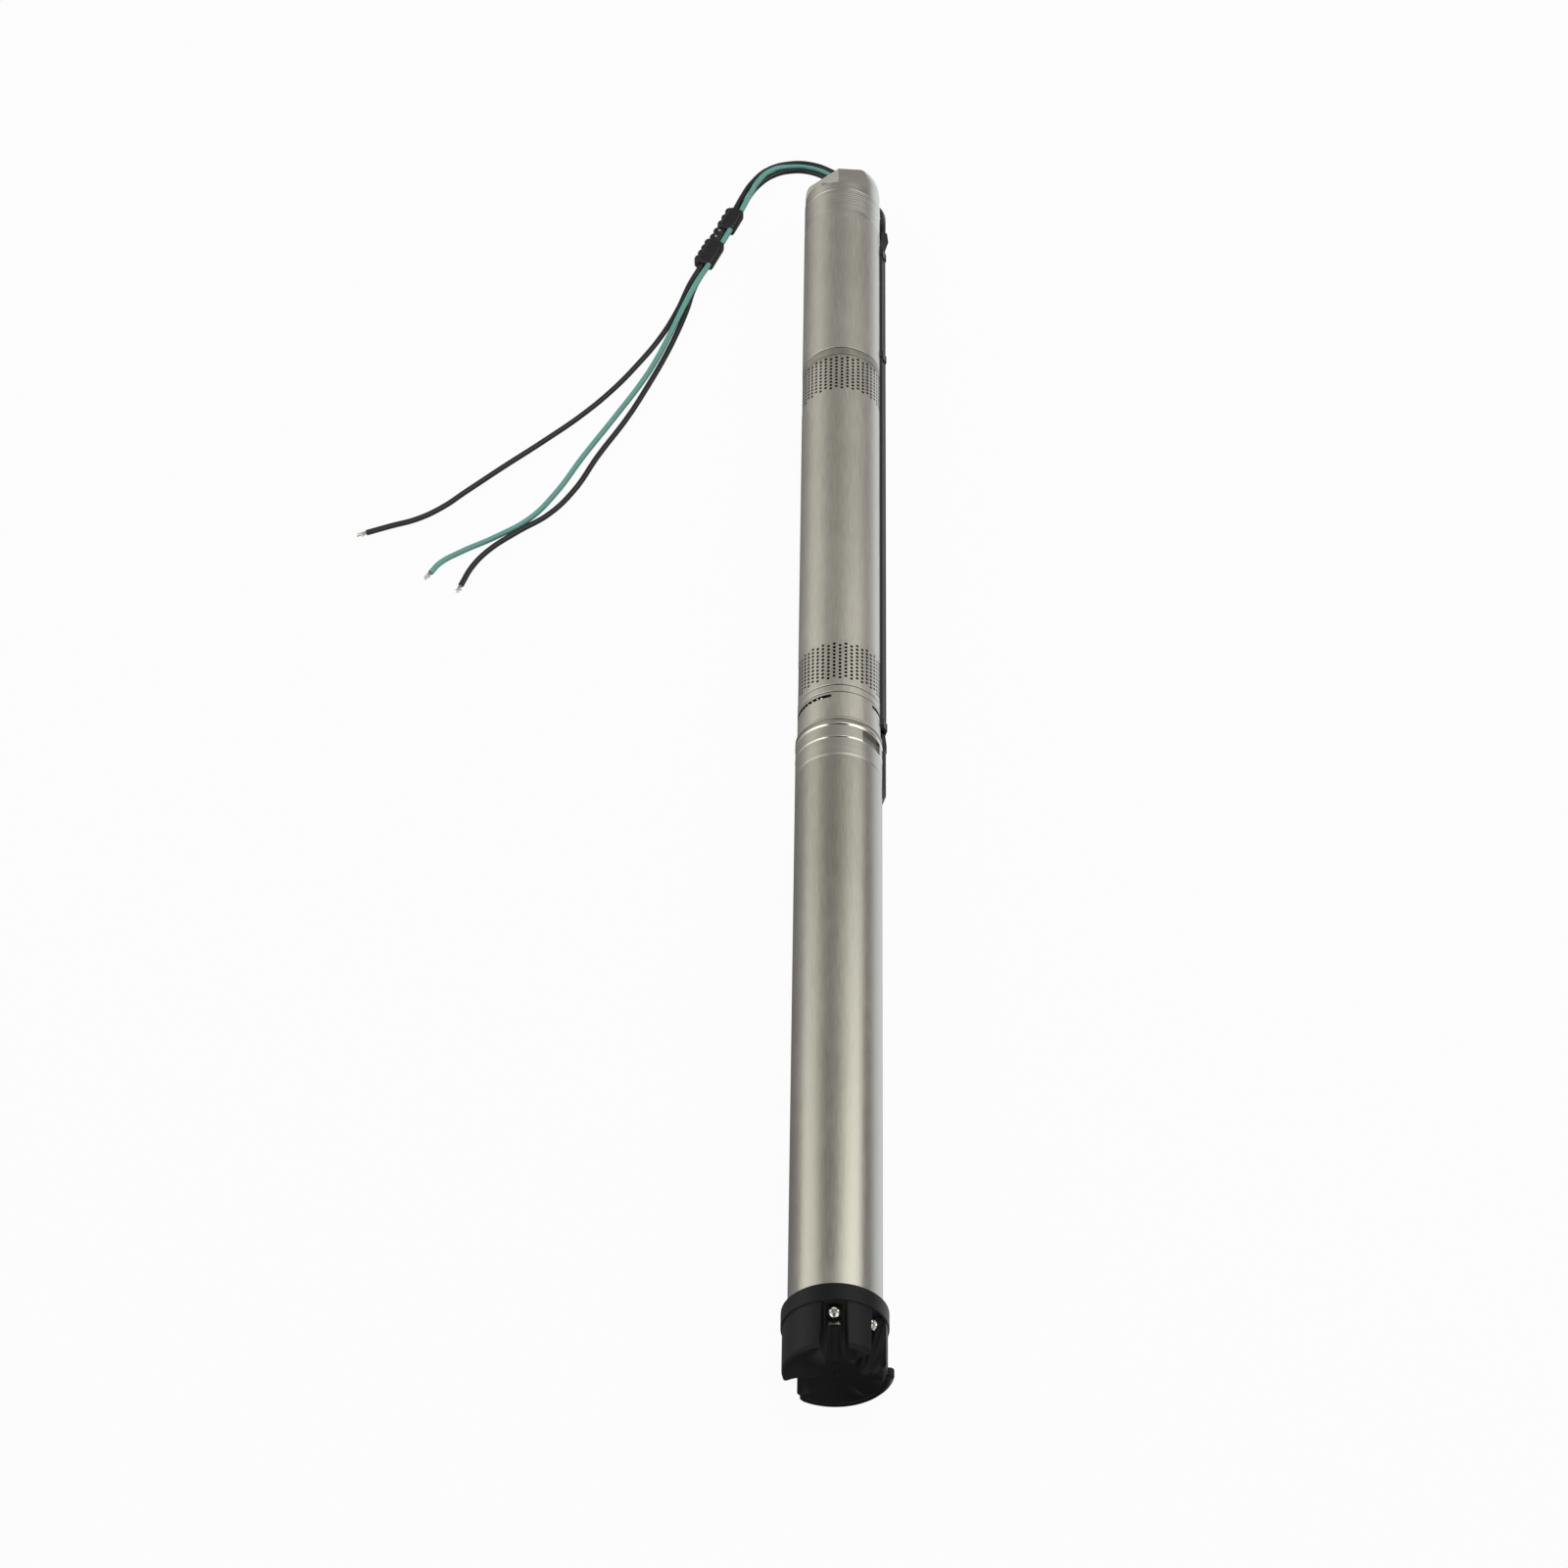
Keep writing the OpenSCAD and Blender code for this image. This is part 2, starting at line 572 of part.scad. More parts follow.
// the o-ring lies in a groove of the head's skirt
ring_drop = 14;
ring_w = 3;
ring_in = 2.4;
module head_o_ring() color("black") lay() turned([
    [bore_r - ring_in, sleeve_top - ring_drop], [bore_r - edge / 3, sleeve_top - ring_drop],
    [bore_r, sleeve_top - ring_drop + ring_w / 3], [bore_r, sleeve_top - ring_drop + ring_w * 2 / 3],
    [bore_r - edge / 3, sleeve_top - ring_drop + ring_w], [bore_r - ring_in, sleeve_top - ring_drop + ring_w]]);

valve_low = stator_top + seat_t + seat_h;
disc_t = 4;
guide_len = 6;
guide_r = 6;
stem_len = 31;
module valve_seat() color("black") lay() turned([
    [seat_bore_d / 2, stator_top], [stator_r - slip, stator_top], [stator_r - slip, stator_top + seat_t],
    [seat_r - slip, stator_top + seat_t], [seat_r - slip, valve_low - edge / 2],
    [seat_r - edge / 2, valve_low], [seat_bore_d / 2, valve_low]], mid);
module valve_cup() color("dimgray") lay() turned([
    [0, valve_low - edge], [seat_bore_d / 2 - edge, valve_low - edge], [seat_bore_d / 2 - edge / 2, valve_low],
    [valve_d / 2, valve_low], [valve_d / 2, valve_low + disc_t - edge], [valve_d / 2 - edge, valve_low + disc_t],
    [stem_d / 2, valve_low + disc_t], [stem_d / 2, valve_low + disc_t + stem_len],
    [0, valve_low + disc_t + stem_len]], mid);
module valve_guide() color("gray") lay() {
    difference() {
        union() {
            pipe(seat_r - slip, seat_r - edge, chamber_top - guide_len, chamber_top, mid);
            for (a = [0, 120, 240]) rotate([0, 0, a]) translate([0, -edge / 2, chamber_top - guide_len])
                cube([seat_r - edge / 2, edge, guide_len]);
            pipe(guide_r, 0, chamber_top - guide_len, chamber_top, mid);
        }
        translate([0, 0, chamber_top - guide_len - cut])
            cylinder(r = stem_d / 2 + run, h = guide_len + 2 * cut, $fn = mid);
    }
}

// the spring is one tube wound round the stem
spring_low = valve_low + disc_t + spring_wire / 2;
spring_high = chamber_top - guide_len - spring_wire / 2;
spring_rings = 12;
spring_sides = 6;
function sweep_faces(n, m) = concat(
    [for (i = [0 : n - 2]) for (j = [0 : m - 1]) [i * m + j, (i + 1) * m + j, (i + 1) * m + (j + 1) % m]],
    [for (i = [0 : n - 2]) for (j = [0 : m - 1]) [i * m + j, (i + 1) * m + (j + 1) % m, i * m + (j + 1) % m]],
    [for (j = [1 : m - 2]) [0, j, j + 1]],
    [for (j = [1 : m - 2]) [(n - 1) * m, (n - 1) * m + j + 1, (n - 1) * m + j]]);
module valve_spring() color("silver") lay() {
    n = spring_turns * spring_rings + 1;
    pts = [for (i = [0 : n - 1]) for (j = [0 : spring_sides - 1])
        let (a = 360 * i / spring_rings, b = 360 * j / spring_sides,
            r = spring_d / 2 + spring_wire / 2 * cos(b),
            z = spring_low + (spring_high - spring_low) * i / (n - 1) - spring_wire / 2 * sin(b))
        [r * cos(a), r * sin(a), z]];
    polyhedron(pts, sweep_faces(n, spring_sides));
}

// Cable guard and flat cable
guard_low = sleeve_low + 17.5;
guard_top = sleeve_top - 12;
guard_rise = cable_t + 4 * slip;
guard_slant = 3;
guard_foot = 3;
clip_len = 7;
clip_stations = [guard_low + 1, guard_low + 405, guard_top - 11];
// hat section: radius and side reach, grown outward by g
function hat(g) = [
    [sleeve_r - 2 * guard_foot, guard_w / 2 + guard_slant + guard_foot + g],
    [sleeve_r - guard_foot / 3 + g, guard_w / 2 + guard_slant + guard_foot + g],
    [sleeve_r + g, guard_w / 2 + guard_slant + g],
    [sleeve_r + guard_rise + g, guard_w / 2 + g],
    [sleeve_r + guard_rise + g, -guard_w / 2 - g],
    [sleeve_r + g, -guard_w / 2 - guard_slant - g],
    [sleeve_r - guard_foot / 3 + g, -guard_w / 2 - guard_slant - guard_foot - g],
    [sleeve_r - 2 * guard_foot, -guard_w / 2 - guard_slant - guard_foot - g]];
module hat_bar(g, low, top) rotate([0, 0, guard_turn]) translate([0, 0, low])
    linear_extrude(top - low) polygon(hat(g));
function under_hat() = [
    [sleeve_r - 2 * guard_foot, guard_w / 2 + guard_slant - guard_sheet],
    [sleeve_r, guard_w / 2 + guard_slant - guard_sheet],
    [sleeve_r + guard_rise, guard_w / 2],
    [sleeve_r + guard_rise, -guard_w / 2],
    [sleeve_r, -guard_w / 2 - guard_slant + guard_sheet],
    [sleeve_r - 2 * guard_foot, -guard_w / 2 - guard_slant + guard_sheet]];
module cable_guard() color("silver") lay() difference() {
    hat_bar(guard_sheet, guard_low, guard_top);
    rotate([0, 0, guard_turn]) translate([0, 0, guard_low - cut])
        linear_extrude(guard_top - guard_low + 2 * cut) polygon(under_hat());
    cylinder(r = sleeve_r, h = total_len, $fn = big);
}
module guard_clips() color("silver") lay() difference() {
    for (z = clip_stations) hat_bar(2 * guard_sheet, z, z + clip_len);
    hat_bar(guard_sheet, guard_low - cut, guard_top + cut);
    cylinder(r = sleeve_r, h = total_len, $fn = big);
}

cable_out = lip_d / 2 - sleeve_r + 2 * slip;
cable_ramp = 14;
boot_len = 22;
cable_end = guard_top;
module flat_cable() color("#1d1e21") lay() rotate([0, 0, guard_turn])
    translate([sleeve_r, cable_w / 2, 0]) rotate([90, 0, 0]) linear_extrude(cable_w) polygon([
        [cable_out, sleeve_low - bead], [cable_out, sleeve_low + lip_len + bead],
        [slip, sleeve_low + lip_len + bead + cable_ramp], [slip, cable_end],
        [cable_t + slip, cable_end], [cable_t + slip, sleeve_low + lip_len + bead + cable_ramp],
        [cable_t + cable_out, sleeve_low + lip_len + bead], [cable_t + cable_out, sleeve_low - bead]]);
// the plug's tail lies on the motor tube below the head
plug_low = sleeve_low - plug_len - bead;
module motor_plug() color("#1d1e21") lay() rotate([0, 0, guard_turn]) difference() {
    translate([motor_r - plug_floor, -plug_w / 2 + slip, plug_low - plug_tail])
        cube([plug_floor + plug_top, plug_w - 2 * slip, plug_len + plug_tail]);
    for (s = [-1, 1]) translate([motor_r + plug_top, s * plug_w / 2, plug_low - plug_tail - cut])
        rotate([0, 0, 45]) translate([-edge / 2, -edge / 2, 0]) cube([edge, edge, plug_len + plug_tail + 2 * cut]);
    translate([motor_r + plug_top, 0, plug_low - plug_tail]) rotate([0, 45, 0])
        translate([-edge, -plug_w, -edge]) cube([2 * edge, 2 * plug_w, 2 * edge]);
    translate([0, 0, plug_low - plug_tail - cut])
        cylinder(r = motor_r + bead_out + slip, h = plug_tail + slip + cut, $fn = big);
}

// Boot, leads and cable clip
boot_w = 3 * lead_d + 2.4;
boot_rise = 6.2;
slab = 0.5;
module cable_boot() color("#17181a") lay() difference() {
    rotate([0, 0, guard_turn]) hull() {
        translate([sleeve_r, -cable_w / 2 - slab, cable_end]) cube([cable_t + slab, cable_w + 2 * slab, slab]);
        translate([sleeve_r, -boot_w / 2, cable_end + boot_len / 2]) cube([boot_rise, boot_w, slab]);
        translate([sleeve_r, -boot_w / 2, cable_end + boot_len - slab]) cube([lead_d + slab, boot_w, slab]);
    }
    translate([0, 0, sleeve_low]) cylinder(r = sleeve_r, h = total_len, $fn = big);
}

// Routes in millimetres: side, along the pump, and how far the lead's underside is above the floor.
// The boot's end is the start, and the clip holds the straight run between two neighbouring points.
route_black_a = [
    [32.7, 548.5, 33.6], [32.7, 557, 33.6], [32.8, 568, 31.2], [32.6, 580, 26], [31.5, 592, 19], [29.9, 603.5, 12.1],
    [27.5, 614, 6.4], [25, 624, 2.6], [20, 634, 0.6], [13.5, 644, 0], [5, 654, 0], [-8, 665, 0],
    [-28, 675, 0], [-48, 676, 0], [-66, 667, 0], [-79, 650, 0], [-88, 631, 0.8], [-95.6, 612.2, 2.7],
    [-123.6, 541.2, 2.7], [-131, 519, 1], [-141, 490, 0], [-154, 456, 0], [-170, 423, 0], [-190, 392, 0],
    [-214, 362, 0], [-244, 331, 0], [-276, 300, 0], [-304, 272, 0], [-323, 253, 0], [-342, 240, 0],
    [-362, 232, 0], [-381, 224, 0]];
route_green = [
    [31.8, 548.5, 28.8], [31.8, 556.5, 28.8], [31.6, 567, 26], [30.4, 579, 19.9], [28.6, 591, 12.4], [26, 602.5, 5.7],
    [22.5, 613, 1.8], [18, 623, 0.4], [12, 633, 0], [4, 645, 0], [-11, 660, 0], [-29, 669.5, 0],
    [-47, 670, 0], [-62.5, 662.5, 0], [-74.5, 647, 0], [-83, 629, 0.8], [-90, 610, 2.7], [-118, 539, 2.7],
    [-125, 517, 1], [-134, 489, 0], [-144, 459, 0], [-154, 431, 0], [-165, 404, 0], [-187, 360, 0],
    [-211, 314, 0], [-232, 271, 0], [-251, 243, 0], [-277, 222, 0], [-305, 204, 0], [-320, 192, 0],
    [-327, 181, 0]];
route_black_b = [
    [30.5, 548.5, 24.1], [30.5, 556, 24.1], [30.1, 566, 21], [28.8, 577, 14.5], [26.6, 588, 7.8], [23.6, 598, 3],
    [20, 607, 0.5], [15, 617, 0], [8, 629, 0], [-2, 641, 0], [-13, 652, 0], [-30, 663, 0],
    [-46, 664.4, 0], [-59, 658, 0], [-69.6, 644.4, 0], [-77.6, 627, 0.8], [-84.4, 607.8, 2.7], [-112.4, 536.8, 2.7],
    [-119.6, 515, 1], [-128.6, 487, 0], [-138.6, 457, 0], [-147.5, 430, 0], [-158, 401, 0], [-176, 361, 0],
    [-199, 315, 0], [-217, 275, 0], [-236, 248, 0], [-260, 228, 0], [-282, 207, 0], [-294, 189, 0],
    [-302, 168, 0]];
lead_sides = 8;

// a ring square to the way there and back, its first corner held level
function unit(v) = v / norm(v);
function heading(p, i) = i == 0 ? unit(p[1] - p[0]) : i == len(p) - 1 ? unit(p[i] - p[i - 1])
    : unit(unit(p[i] - p[i - 1]) + unit(p[i + 1] - p[i]));
function swept(p, r) = [for (i = [0 : len(p) - 1]) for (j = [0 : lead_sides - 1])
    let (h = heading(p, i), u = unit(cross([0, 0, 1], h)), v = cross(h, u), a = 360 * j / lead_sides)
    p[i] + [0, 0, r] + r * (cos(a) * u + sin(a) * v)];
module lead(route) polyhedron(swept(route, lead_r), sweep_faces(len(route), lead_sides));
module lead_black_a() color("#222326") lead(route_black_a);
module lead_green() color("#5fa396") lead(route_green);
module lead_black_b() color("#222326") lead(route_black_b);

wire_r = 0.9;
wire_len = 9;
module lead_ends() color("peru") for (r = [route_black_a, route_green, route_black_b]) {
    n = len(r) - 1;
    h = unit(r[n] - r[n - 1]);
    translate(r[n] + [0, 0, lead_r]) rotate([0, 90, atan2(h[1], h[0])])
        cylinder(r = wire_r, h = wire_len, $fn = small / 2);
}

// the clip holds the leads between the two route points where they run straight
clip_lift = 2.7;
function clip_index(p) = [for (i = [1 : len(p) - 1]) if (p[i][2] == clip_lift && p[i - 1][2] == clip_lift) i][0];
clip_from = route_green[clip_index(route_green)];
clip_to = route_green[clip_index(route_green) - 1];
clip_run = norm(clip_to - clip_from);
clip_turn = atan2(clip_to[1] - clip_from[1], clip_to[0] - clip_from[0]);
lower_share = 0.5;
neck_share = 0.1;
clip_round = 4;
rib_w = 1.2;
rib_count = 5;
module clip_block(from, to, w, h) translate([from, 0, h / 2]) rotate([90, 0, 90])
    linear_extrude(to - from) polygon([
        [-w / 2, -h / 2], [w / 2, -h / 2], [w / 2, h / 2 - clip_round], [w / 2 - clip_round, h / 2],
        [-w / 2 + clip_round, h / 2], [-w / 2, h / 2 - clip_round]]);
module cable_clip() color("#1b1c1f") translate([clip_from[0], clip_from[1], 0]) rotate([0, 0, clip_turn])
    difference() {
        union() {
            clip_block(0, clip_run * lower_share, clip_w, clip_h);
            clip_block(clip_run * lower_share - slab, clip_run * (lower_share + neck_share) + slab,
                clip_w - clip_round, clip_h - clip_round / 2);
            clip_block(clip_run * (lower_share + neck_share), clip_run, clip_w, clip_h);
        }
        for (p = [route_green, route_black_a, route_black_b]) {
            q = p[clip_index(p)] - clip_from;
            translate([-cut, q[1] * cos(clip_turn) - q[0] * sin(clip_turn), clip_lift + lead_r]) rotate([0, 90, 0])
                cylinder(r = lead_r + slip, h = clip_run + 2 * cut, $fn = small);
        }
        for (i = [1 : rib_count]) for (f = [0, lower_share + neck_share])
            translate([clip_run * (f + (1 - lower_share - neck_share) * i / (rib_count + 1)), -clip_w, clip_h - rib_w / 2])
                cube([rib_w, 2 * clip_w, clip_h]);
    }

end_cap();
filler_plug();
cap_screws();
motor_end_plate();
diaphragm();
motor_tube();
electronics_can();
control_board();
thrust_ring();
thrust_disc();
lower_housing();
lower_bearing();
stator_core();
end_windings();
rotor_magnets();
motor_shaft();
upper_bearing();
motor_head();
shaft_seal();
sand_shield();
shaft_coupling();
torsion_rod();
helical_rotor();
stator_liner();
stator_tube();
support_ring();
pump_sleeve();
discharge_head();
head_o_ring();
valve_seat();
valve_cup();
valve_spring();
valve_guide();
cable_guard();
guard_clips();
flat_cable();
motor_plug();
cable_boot();
cable_clip();
lead_black_a();
lead_green();
lead_black_b();
lead_ends();
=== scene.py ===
# %% [markdown]
# # Dressing a solar submersible pump
# The pump lies on its side: a black end cap at the near end, a steel motor tube, a turned motor
# head, a drawn steel sleeve with two strainer bands, and the outlet head at the far end. Three
# leads come out beside the outlet head and lie on the floor. Most solids come from the CAD model
# and get clean shading here. The two heads, the cable clip and the bare strands are modelled anew
# with their finest forms. Finishes, a floor, a room, lamps and a camera follow.

# %% Load the frame
import bpy
import math
from mathutils import Matrix, Vector


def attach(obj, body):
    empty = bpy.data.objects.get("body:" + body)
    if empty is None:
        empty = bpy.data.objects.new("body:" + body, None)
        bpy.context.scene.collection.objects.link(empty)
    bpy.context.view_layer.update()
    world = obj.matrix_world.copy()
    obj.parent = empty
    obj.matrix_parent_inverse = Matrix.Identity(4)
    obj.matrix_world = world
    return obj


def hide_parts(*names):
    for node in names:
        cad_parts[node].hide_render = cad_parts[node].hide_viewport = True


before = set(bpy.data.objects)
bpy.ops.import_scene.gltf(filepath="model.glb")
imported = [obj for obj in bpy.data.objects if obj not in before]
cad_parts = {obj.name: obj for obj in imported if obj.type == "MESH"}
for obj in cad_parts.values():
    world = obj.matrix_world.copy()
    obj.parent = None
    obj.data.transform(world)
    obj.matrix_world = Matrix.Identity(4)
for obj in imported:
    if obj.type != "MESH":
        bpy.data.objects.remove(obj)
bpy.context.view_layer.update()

# %% [markdown]
# Places are in metres, in the frame of the CAD model: Y runs along the pump from the motor end to
# the outlet, X goes to the side of the cable guard and Z is up. The pump stands on the flat of the
# foot under its end cap, and most patterns are centred on the pump's own axis. Routes, profiles,
# milling blocks and the clip are written in millimetres, because their numbers are easier to read
# that way, and places along the pump are stations from the motor end.

# %% The pump's axis and the stations along it
MM_PER_M = 1000
AXIS_X = -0.001672
AXIS_Z = 0.0395
MOTOR_END_Y = -0.600
PUMP_LENGTH = 1200


def mm(value):
    """Metres of a value in millimetres."""
    return value / MM_PER_M


def station(mm_from_motor_end):
    """Y of a station that is measured in millimetres from the motor end."""
    return MOTOR_END_Y + mm(mm_from_motor_end)


def spoke(place):
    """The way from the pump's axis straight out to a place."""
    return Vector((place.x - AXIS_X, 0, place.z - AXIS_Z))


print("the outlet ends at", round(station(PUMP_LENGTH), 3))

# %% [markdown]
# ## The camera
# A product photograph of a long, slim thing is taken from far away with a long lens, so that the
# far end isn't much smaller than the near end. The camera stands 2.7 m up, looks down at 49
# degrees and is rolled a little, which is why the pump leans to the left in the picture.

# %% Camera
CAMERA_PLACE = Vector((-0.0429, -2.3927, 2.7173))
LOOK_RIGHT = Vector((0.99985994, 0.01263723, 0.01097256))
LOOK_DOWN = Vector((0.01673609, -0.7549827, -0.6555311))
LOOK_FORWARD = Vector((0.0, 0.65562293, -0.75508846))
LENS, SENSOR_WIDTH, FARTHEST = 107.82, 36, 60

bpy.ops.object.camera_add(location=CAMERA_PLACE)
camera = bpy.context.object
camera.name = "camera"
camera.matrix_world = Matrix.Translation(CAMERA_PLACE) @ Matrix(
    (LOOK_RIGHT, -LOOK_DOWN, -LOOK_FORWARD)).transposed().to_4x4()
camera.data.sensor_fit = "HORIZONTAL"
camera.data.sensor_width = SENSOR_WIDTH
camera.data.lens = LENS
camera.data.clip_end = FARTHEST
bpy.context.scene.camera = camera
print("camera", tuple(round(v, 2) for v in camera.location), "lens", camera.data.lens)

# %% [markdown]
# ## The leads
# Three single leads, black, green and black, come out of the moulded boot at the end of the
# cable guard, sink to the floor behind the outlet head, pass through the clip and fan out. In the
# clip the green lead lies on top of the short black one. Each route is a table of points.

# %% Routes of the three leads: side, along the pump, height of the underside, in millimetres
LEAD_DIAMETER = 0.0046
route_black_long = [
    (32.7, 548.5, 33.6), (32.7, 557, 33.6), (32.8, 568, 31.2), (32.6, 580, 26), (31.5, 592, 19),
    (29.9, 603.5, 12.1), (27.5, 614, 6.4), (25, 624, 2.6), (20, 634, 0.6), (13.5, 644, 0),
    (5, 653, 0), (-8.2, 663.8, 0), (-27.7, 674.1, 0), (-48, 674.6, 0), (-65.9, 666.5, 0),
    (-78.8, 649.4, 0.6), (-86.7, 630.3, 2), (-93.2, 611.1, 3), (-120.5, 540.1, 3),
    (-129.3, 519.2, 1.6), (-138.6, 489.8, 0), (-152, 456, 0), (-170, 423, 0), (-190, 392, 0),
    (-214, 362, 0), (-244, 331, 0), (-276, 300, 0), (-304, 272, 0), (-323, 253, 0),
    (-342, 240, 0), (-362, 232, 0), (-381, 224, 0)]
route_green = [
    (31.8, 548.5, 28.8), (31.8, 556.5, 28.8), (31.6, 567, 26), (30.4, 579, 19.9),
    (28.6, 591, 12.4), (26, 602.5, 5.7), (22.5, 613, 1.8), (18, 623, 0.4), (12, 633, 0),
    (4, 645, 0), (-11, 660, 0), (-29, 669.5, 0), (-47, 670, 0.6), (-62.3, 662.3, 3.4),
    (-73.6, 646.6, 4.7), (-80.8, 628.2, 4.7), (-87.4, 609, 5), (-114.9, 537.8, 5),
    (-124, 517.2, 4.6), (-134, 489, 3.6), (-144, 459, 1.6), (-154, 431, 0), (-165, 404, 0),
    (-187, 360, 0), (-211, 314, 0), (-232, 271, 0), (-251, 243, 0), (-277, 222, 0),
    (-305, 204, 0), (-320, 192, 0), (-327, 181, 0)]
route_black_short = [
    (30.5, 548.5, 24.1), (30.5, 556, 24.1), (30.1, 566, 21), (28.8, 577, 14.5), (26.6, 588, 7.8),
    (23.6, 598, 3), (20, 607, 0.5), (15, 618, 0), (8, 630, 0), (-1.5, 643, 0), (-13.8, 656, 0),
    (-30.3, 664.9, 0), (-46, 665.4, 0), (-60.1, 660, 0), (-73.4, 646.4, 0), (-82.6, 628.9, 0),
    (-89.8, 609.9, 0.2), (-117.2, 538.7, 0.2), (-125.1, 517.6, 0), (-131.4, 488.1, 0),
    (-139.7, 457.5, 0), (-148.8, 429.5, 0), (-159.5, 401, 0), (-176, 361, 0), (-199, 315, 0),
    (-217, 275, 0), (-236, 248, 0), (-260, 228, 0), (-282, 207, 0), (-294, 189, 0),
    (-302, 168, 0)]
routes = {"lead_black_a": route_black_long, "lead_green": route_green,
          "lead_black_b": route_black_short}


def middle(knot):
    """The middle of the lead where its underside has that height, in metres."""
    side, along, height = knot
    return Vector((mm(side), mm(along), mm(height) + LEAD_DIAMETER / 2))


print("the leads have", [len(route) for route in routes.values()], "knots")

# %% [markdown]
# A curve object with one spline and a round bevel is the natural lead: it has a centreline that
# can be measured, and its thickness can be changed at any time. A Bezier spline with automatic
# handles passes through every point of the route and stays smooth between them.

# %% Build the leads as curves
LEAD_STEPS, LEAD_ROUNDNESS, MEASURE_STEPS = 8, 4, 16
LEAD_NAMES = {"lead_black_a": "black_lead_long", "lead_green": "green_lead",
              "lead_black_b": "black_lead_short"}


def new_object(name, data):
    """An object with that data, in the scene."""
    thing = bpy.data.objects.new(name, data)
    bpy.context.scene.collection.objects.link(thing)
    return thing


def round_curve(name, diameter, roundness):
    """An empty curve with a round section and closed ends."""
    curve = bpy.data.curves.new(name, "CURVE")
    curve.dimensions = "3D"
    curve.bevel_depth = diameter / 2
    curve.bevel_resolution = roundness
    curve.use_fill_caps = True
    return curve


def add_spline(curve, places):
    """A smooth line through the places."""
    spline = curve.splines.new("BEZIER")
    spline.bezier_points.add(len(places) - 1)
    for knot, place in zip(spline.bezier_points, places):
        knot.co = place
        knot.handle_left_type = knot.handle_right_type = "AUTO"


def lay_lead(name, route):
    """A lead that follows the route."""
    curve = round_curve(name, LEAD_DIAMETER, LEAD_ROUNDNESS)
    curve.resolution_u = LEAD_STEPS
    add_spline(curve, [middle(knot) for knot in route])
    return new_object(name, curve)


def lead_length(lead):
    """Length of the lead's centreline, from its evaluated handles."""
    bpy.context.view_layer.update()
    total, knots = 0.0, lead.data.splines[0].bezier_points
    for a, b in zip(knots, knots[1:]):
        last = a.co.copy()
        for i in range(1, MEASURE_STEPS + 1):
            t = i / MEASURE_STEPS
            here = ((1 - t) ** 3 * a.co + 3 * (1 - t) ** 2 * t * a.handle_right
                    + 3 * (1 - t) * t ** 2 * b.handle_left + t ** 3 * b.co)
            total += (here - last).length
            last = here
    return total


leads = {node: lay_lead(LEAD_NAMES[node], route) for node, route in routes.items()}
for node, lead in leads.items():
    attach(lead, "pump")
    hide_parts(node)
    print(lead.name, "is", round(lead_length(lead), 4), "m long")

# %% [markdown]
# ## Clean shading for the carried solids
# A CAD solid arrives as loose triangles. On brushed metal every facet would show, so each visible
# solid gets a twin: the same triangles, merged at their shared corners, shaded smooth wherever two
# faces meet at less than thirty degrees. The twin stands for the solid and is never moved.

# %% Twins of the visible solids
TWIN_ANGLE = 30
MERGE_WITHIN = 0.00001
skins = {}


def deselect_all():
    for thing in bpy.context.selected_objects:
        thing.select_set(False)


def make_active(thing):
    deselect_all()
    thing.select_set(True)
    bpy.context.view_layer.objects.active = thing


def merge_corners(thing, turn_outwards=False):
    """Merge corners that share a place, and turn all faces outwards where that is wanted."""
    make_active(thing)
    bpy.ops.object.mode_set(mode="EDIT")
    bpy.ops.mesh.select_all(action="SELECT")
    bpy.ops.mesh.remove_doubles(threshold=MERGE_WITHIN)
    if turn_outwards:
        bpy.ops.mesh.normals_make_consistent(inside=False)
    bpy.ops.object.mode_set(mode="OBJECT")


def shade_by_angle(thing, angle):
    """Smooth shading across every edge that bends less than the angle."""
    make_active(thing)
    bpy.ops.object.shade_smooth_by_angle(angle=math.radians(angle))


def stand_for(piece, node):
    """The piece rides on the pump in the place of a CAD node."""
    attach(piece, "pump")
    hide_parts(node)
    skins[node] = piece


for node in ["motor_tube", "pump_sleeve", "end_cap", "cap_screws", "filler_plug", "cable_guard",
             "guard_clips", "cable_boot", "motor_plug", "flat_cable"]:
    twin = new_object(node + "_skin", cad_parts[node].data.copy())
    merge_corners(twin)
    shade_by_angle(twin, TWIN_ANGLE)
    stand_for(twin, node)
    print(node, "has", len(twin.data.vertices), "corners after merging")

# %% [markdown]
# ## Turned pieces
# The two machined heads show the finest forms of the pump, so they are turned here from their own
# profiles. A profile is a closed line of points, each a radius and a station in millimetres. The
# screw modifier sweeps it once round the pump's axis, as a lathe would. Flats are then milled with
# blocks, each given by its angle from straight up, the distance of its near face from the axis,
# its width, its depth, and its lower and upper station.

# %% Turn a profile and mill it with blocks
TURNING_STEPS = 144
TURNED_ANGLE = 25


def turned_piece(name, profile):
    """A solid of revolution about the pump's axis."""
    count = len(profile)
    mesh = bpy.data.meshes.new(name)
    mesh.from_pydata([(mm(radius), station(along), 0) for radius, along in profile],
                     [(i, (i + 1) % count) for i in range(count)], [])
    piece = new_object(name, mesh)
    piece.location = (AXIS_X, 0, AXIS_Z)
    make_active(piece)
    bpy.ops.object.modifier_add(type="SCREW")
    turning = piece.modifiers[-1]
    turning.axis = "Y"
    turning.steps = turning.render_steps = TURNING_STEPS
    bpy.ops.object.modifier_apply(modifier=turning.name)
    bpy.ops.object.transform_apply(location=True, rotation=False, scale=False)
    merge_corners(piece, turn_outwards=True)
    return piece


